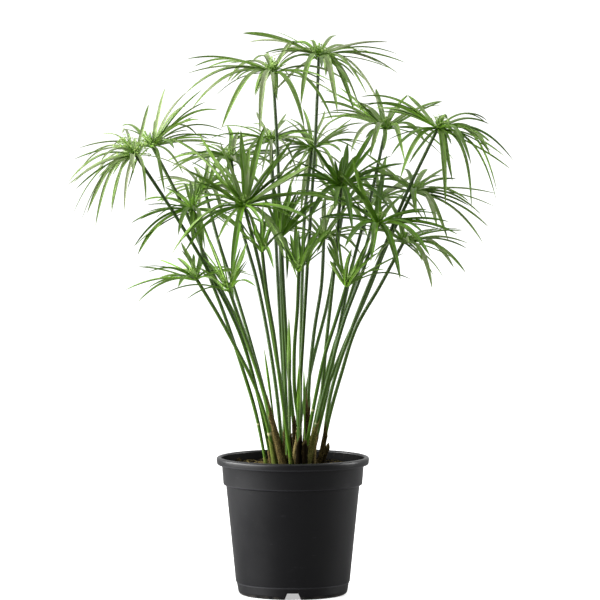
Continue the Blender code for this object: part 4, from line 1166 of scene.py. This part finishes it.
studio = {
    # places in metres
    "floorSize": 160,
    "floor": (0.6, 0.6, 0.6),
    "tableGlow": 0.5,
    "bounce": (0.2, 0.2, 0.2),
    "zenith": 1.8,
    "behind": 0.9,
    "level": 0.03,
    "eye": (0.0072, -6.0, 0.754),
    "aim": (0.0072, 0.0, 0.2965),
    "lens": 360.0,
    "sensor": 36.0,
    # each lamp's place, the height it points at, its width and height, and its power
    "lights": {
        "key": ((-2.3, -1.9, 1.9), 0.35, 1.0, 1.0, 45.0),
        "leftSide": ((-2.0, 0.35, 0.45), 0.2, 0.8, 1.7, 118.0),
        "leftFront": ((-2.6, -1.1, 0.35), 0.12, 1.9, 1.4, 235.0),
        "rightSide": ((2.2, 0.3, 0.5), 0.2, 0.6, 1.8, 72.0),
    },
}


def pointAt(obj, place, target):
    # stands a lamp or the camera at the place, with its own -Z turned towards the target
    obj.location = place
    obj.rotation_euler = (Vector(target) - Vector(place)).to_track_quat("-Z", "Y").to_euler()


def buildStudio():
    # a pale floor that shows brighter than the light it gives back, a white world whose light
    # comes from above and behind, four soft lamps and the camera
    scene = bpy.context.scene
    bpy.ops.mesh.primitive_plane_add(size=studio["floorSize"])
    floor = bpy.context.object
    floor.name = "floor"
    material, tree, shader = startMaterial("pale floor", Roughness=0.9, Specular_IOR_Level=0.1)
    shader.inputs["Base Color"].default_value = (*studio["floor"], 1)
    shader.inputs["Emission Color"].default_value = (1, 1, 1, 1)
    shader.inputs["Emission Strength"].default_value = studio["tableGlow"]
    dim = put(tree, "BsdfDiffuse", {"Color": studio["bounce"]})
    showMix(tree, "Material Output", put(tree, "LightPath").outputs["Is Camera Ray"], dim, shader)
    floor.data.materials.append(material)
    world = bpy.data.worlds.new("soft studio")
    world.use_nodes = True
    tree = world.node_tree
    seen = tree.nodes["Background"]
    seen.inputs["Color"].default_value = (1, 1, 1, 1)
    # the light itself comes mostly from overhead and from behind, as from two wide softboxes
    towards = put(tree, "SeparateXYZ", {"Vector": put(tree, "TexCoord").outputs["Generated"]})
    above = rangeOf(tree, towards.outputs["Z"], 0.3, 0.85, studio["level"], studio["zenith"])
    behind = rangeOf(tree, towards.outputs["Y"], 0.35, 0.9, 0.0, studio["behind"])
    strength = mathOf(tree, "ADD", above, behind)
    given = put(tree, "Background", {"Color": (1, 1, 1), "Strength": strength})
    showMix(tree, "World Output", put(tree, "LightPath").outputs["Is Camera Ray"], given, seen)
    scene.world = world
    scene.view_settings.view_transform = "Standard"
    for name, (place, aimHeight, width, height, power) in studio["lights"].items():
        light = bpy.data.lights.new(name, "AREA")
        light.shape = "RECTANGLE"
        light.size, light.size_y, light.energy = width, height, power
        lamp = bpy.data.objects.new(name, light)
        pointAt(lamp, place, (0, 0, aimHeight))
        scene.collection.objects.link(lamp)
    camera = bpy.data.objects.new("camera", bpy.data.cameras.new("camera"))
    camera.data.lens = studio["lens"]
    camera.data.sensor_width = studio["sensor"]
    camera.data.clip_end = 200
    pointAt(camera, studio["eye"], studio["aim"])
    scene.collection.objects.link(camera)
    scene.camera = camera


# Build

print("studio")
buildStudio()
print("pot")
buildPot(potMaterial(), insideMaterial())

stems = sorted(int(n[-2:]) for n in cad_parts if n.startswith("stem_"))
centres = {i: ringCentres(f"stem_{i:02d}", 6)[0] for i in stems}
paths = {i: culmPath(i, centres[i]) for i in stems}
feet = np.array([paths[i][0, :2] for i in stems]) / mm

print("soil and rootstock")
dryBrown = sheathMaterial()
buildSoil(earthMaterial("peat", 110, 0.35))
buildRootstock(earthMaterial("rootstock fibre", 160, 0.5), feet)
buildCrumbs(earthMaterial("peat crumb", 260, 0.5))
buildFibres(dryBrown)

print("culms")
culmGreen = culmMaterial()
for i in stems:
    buildCulm(i, paths[i], culmGreen)
    buildSheath(i, paths[i], dryBrown)

print("crowns")
bractGreen = bractMaterial()
spikeletGreen = spikeletMaterial()
for i in stems:
    endDirection = unit(centres[i][-1] - paths[i][-4])
    hub = centres[i][-1] + endDirection * crown["hubGap"] * mm
    buildCrown(i, hub, endDirection, bractGreen)
    buildTuft(i, hub, endDirection, spikeletGreen)

print("shoots")
for i in range(1, 6):
    path = buildShoot(i, dryBrown if i == 5 else bractGreen)
    number = sheath["shootsFrom"] + i
    if number in sheath["shoots"]:
        buildSheath(number, path, dryBrown)
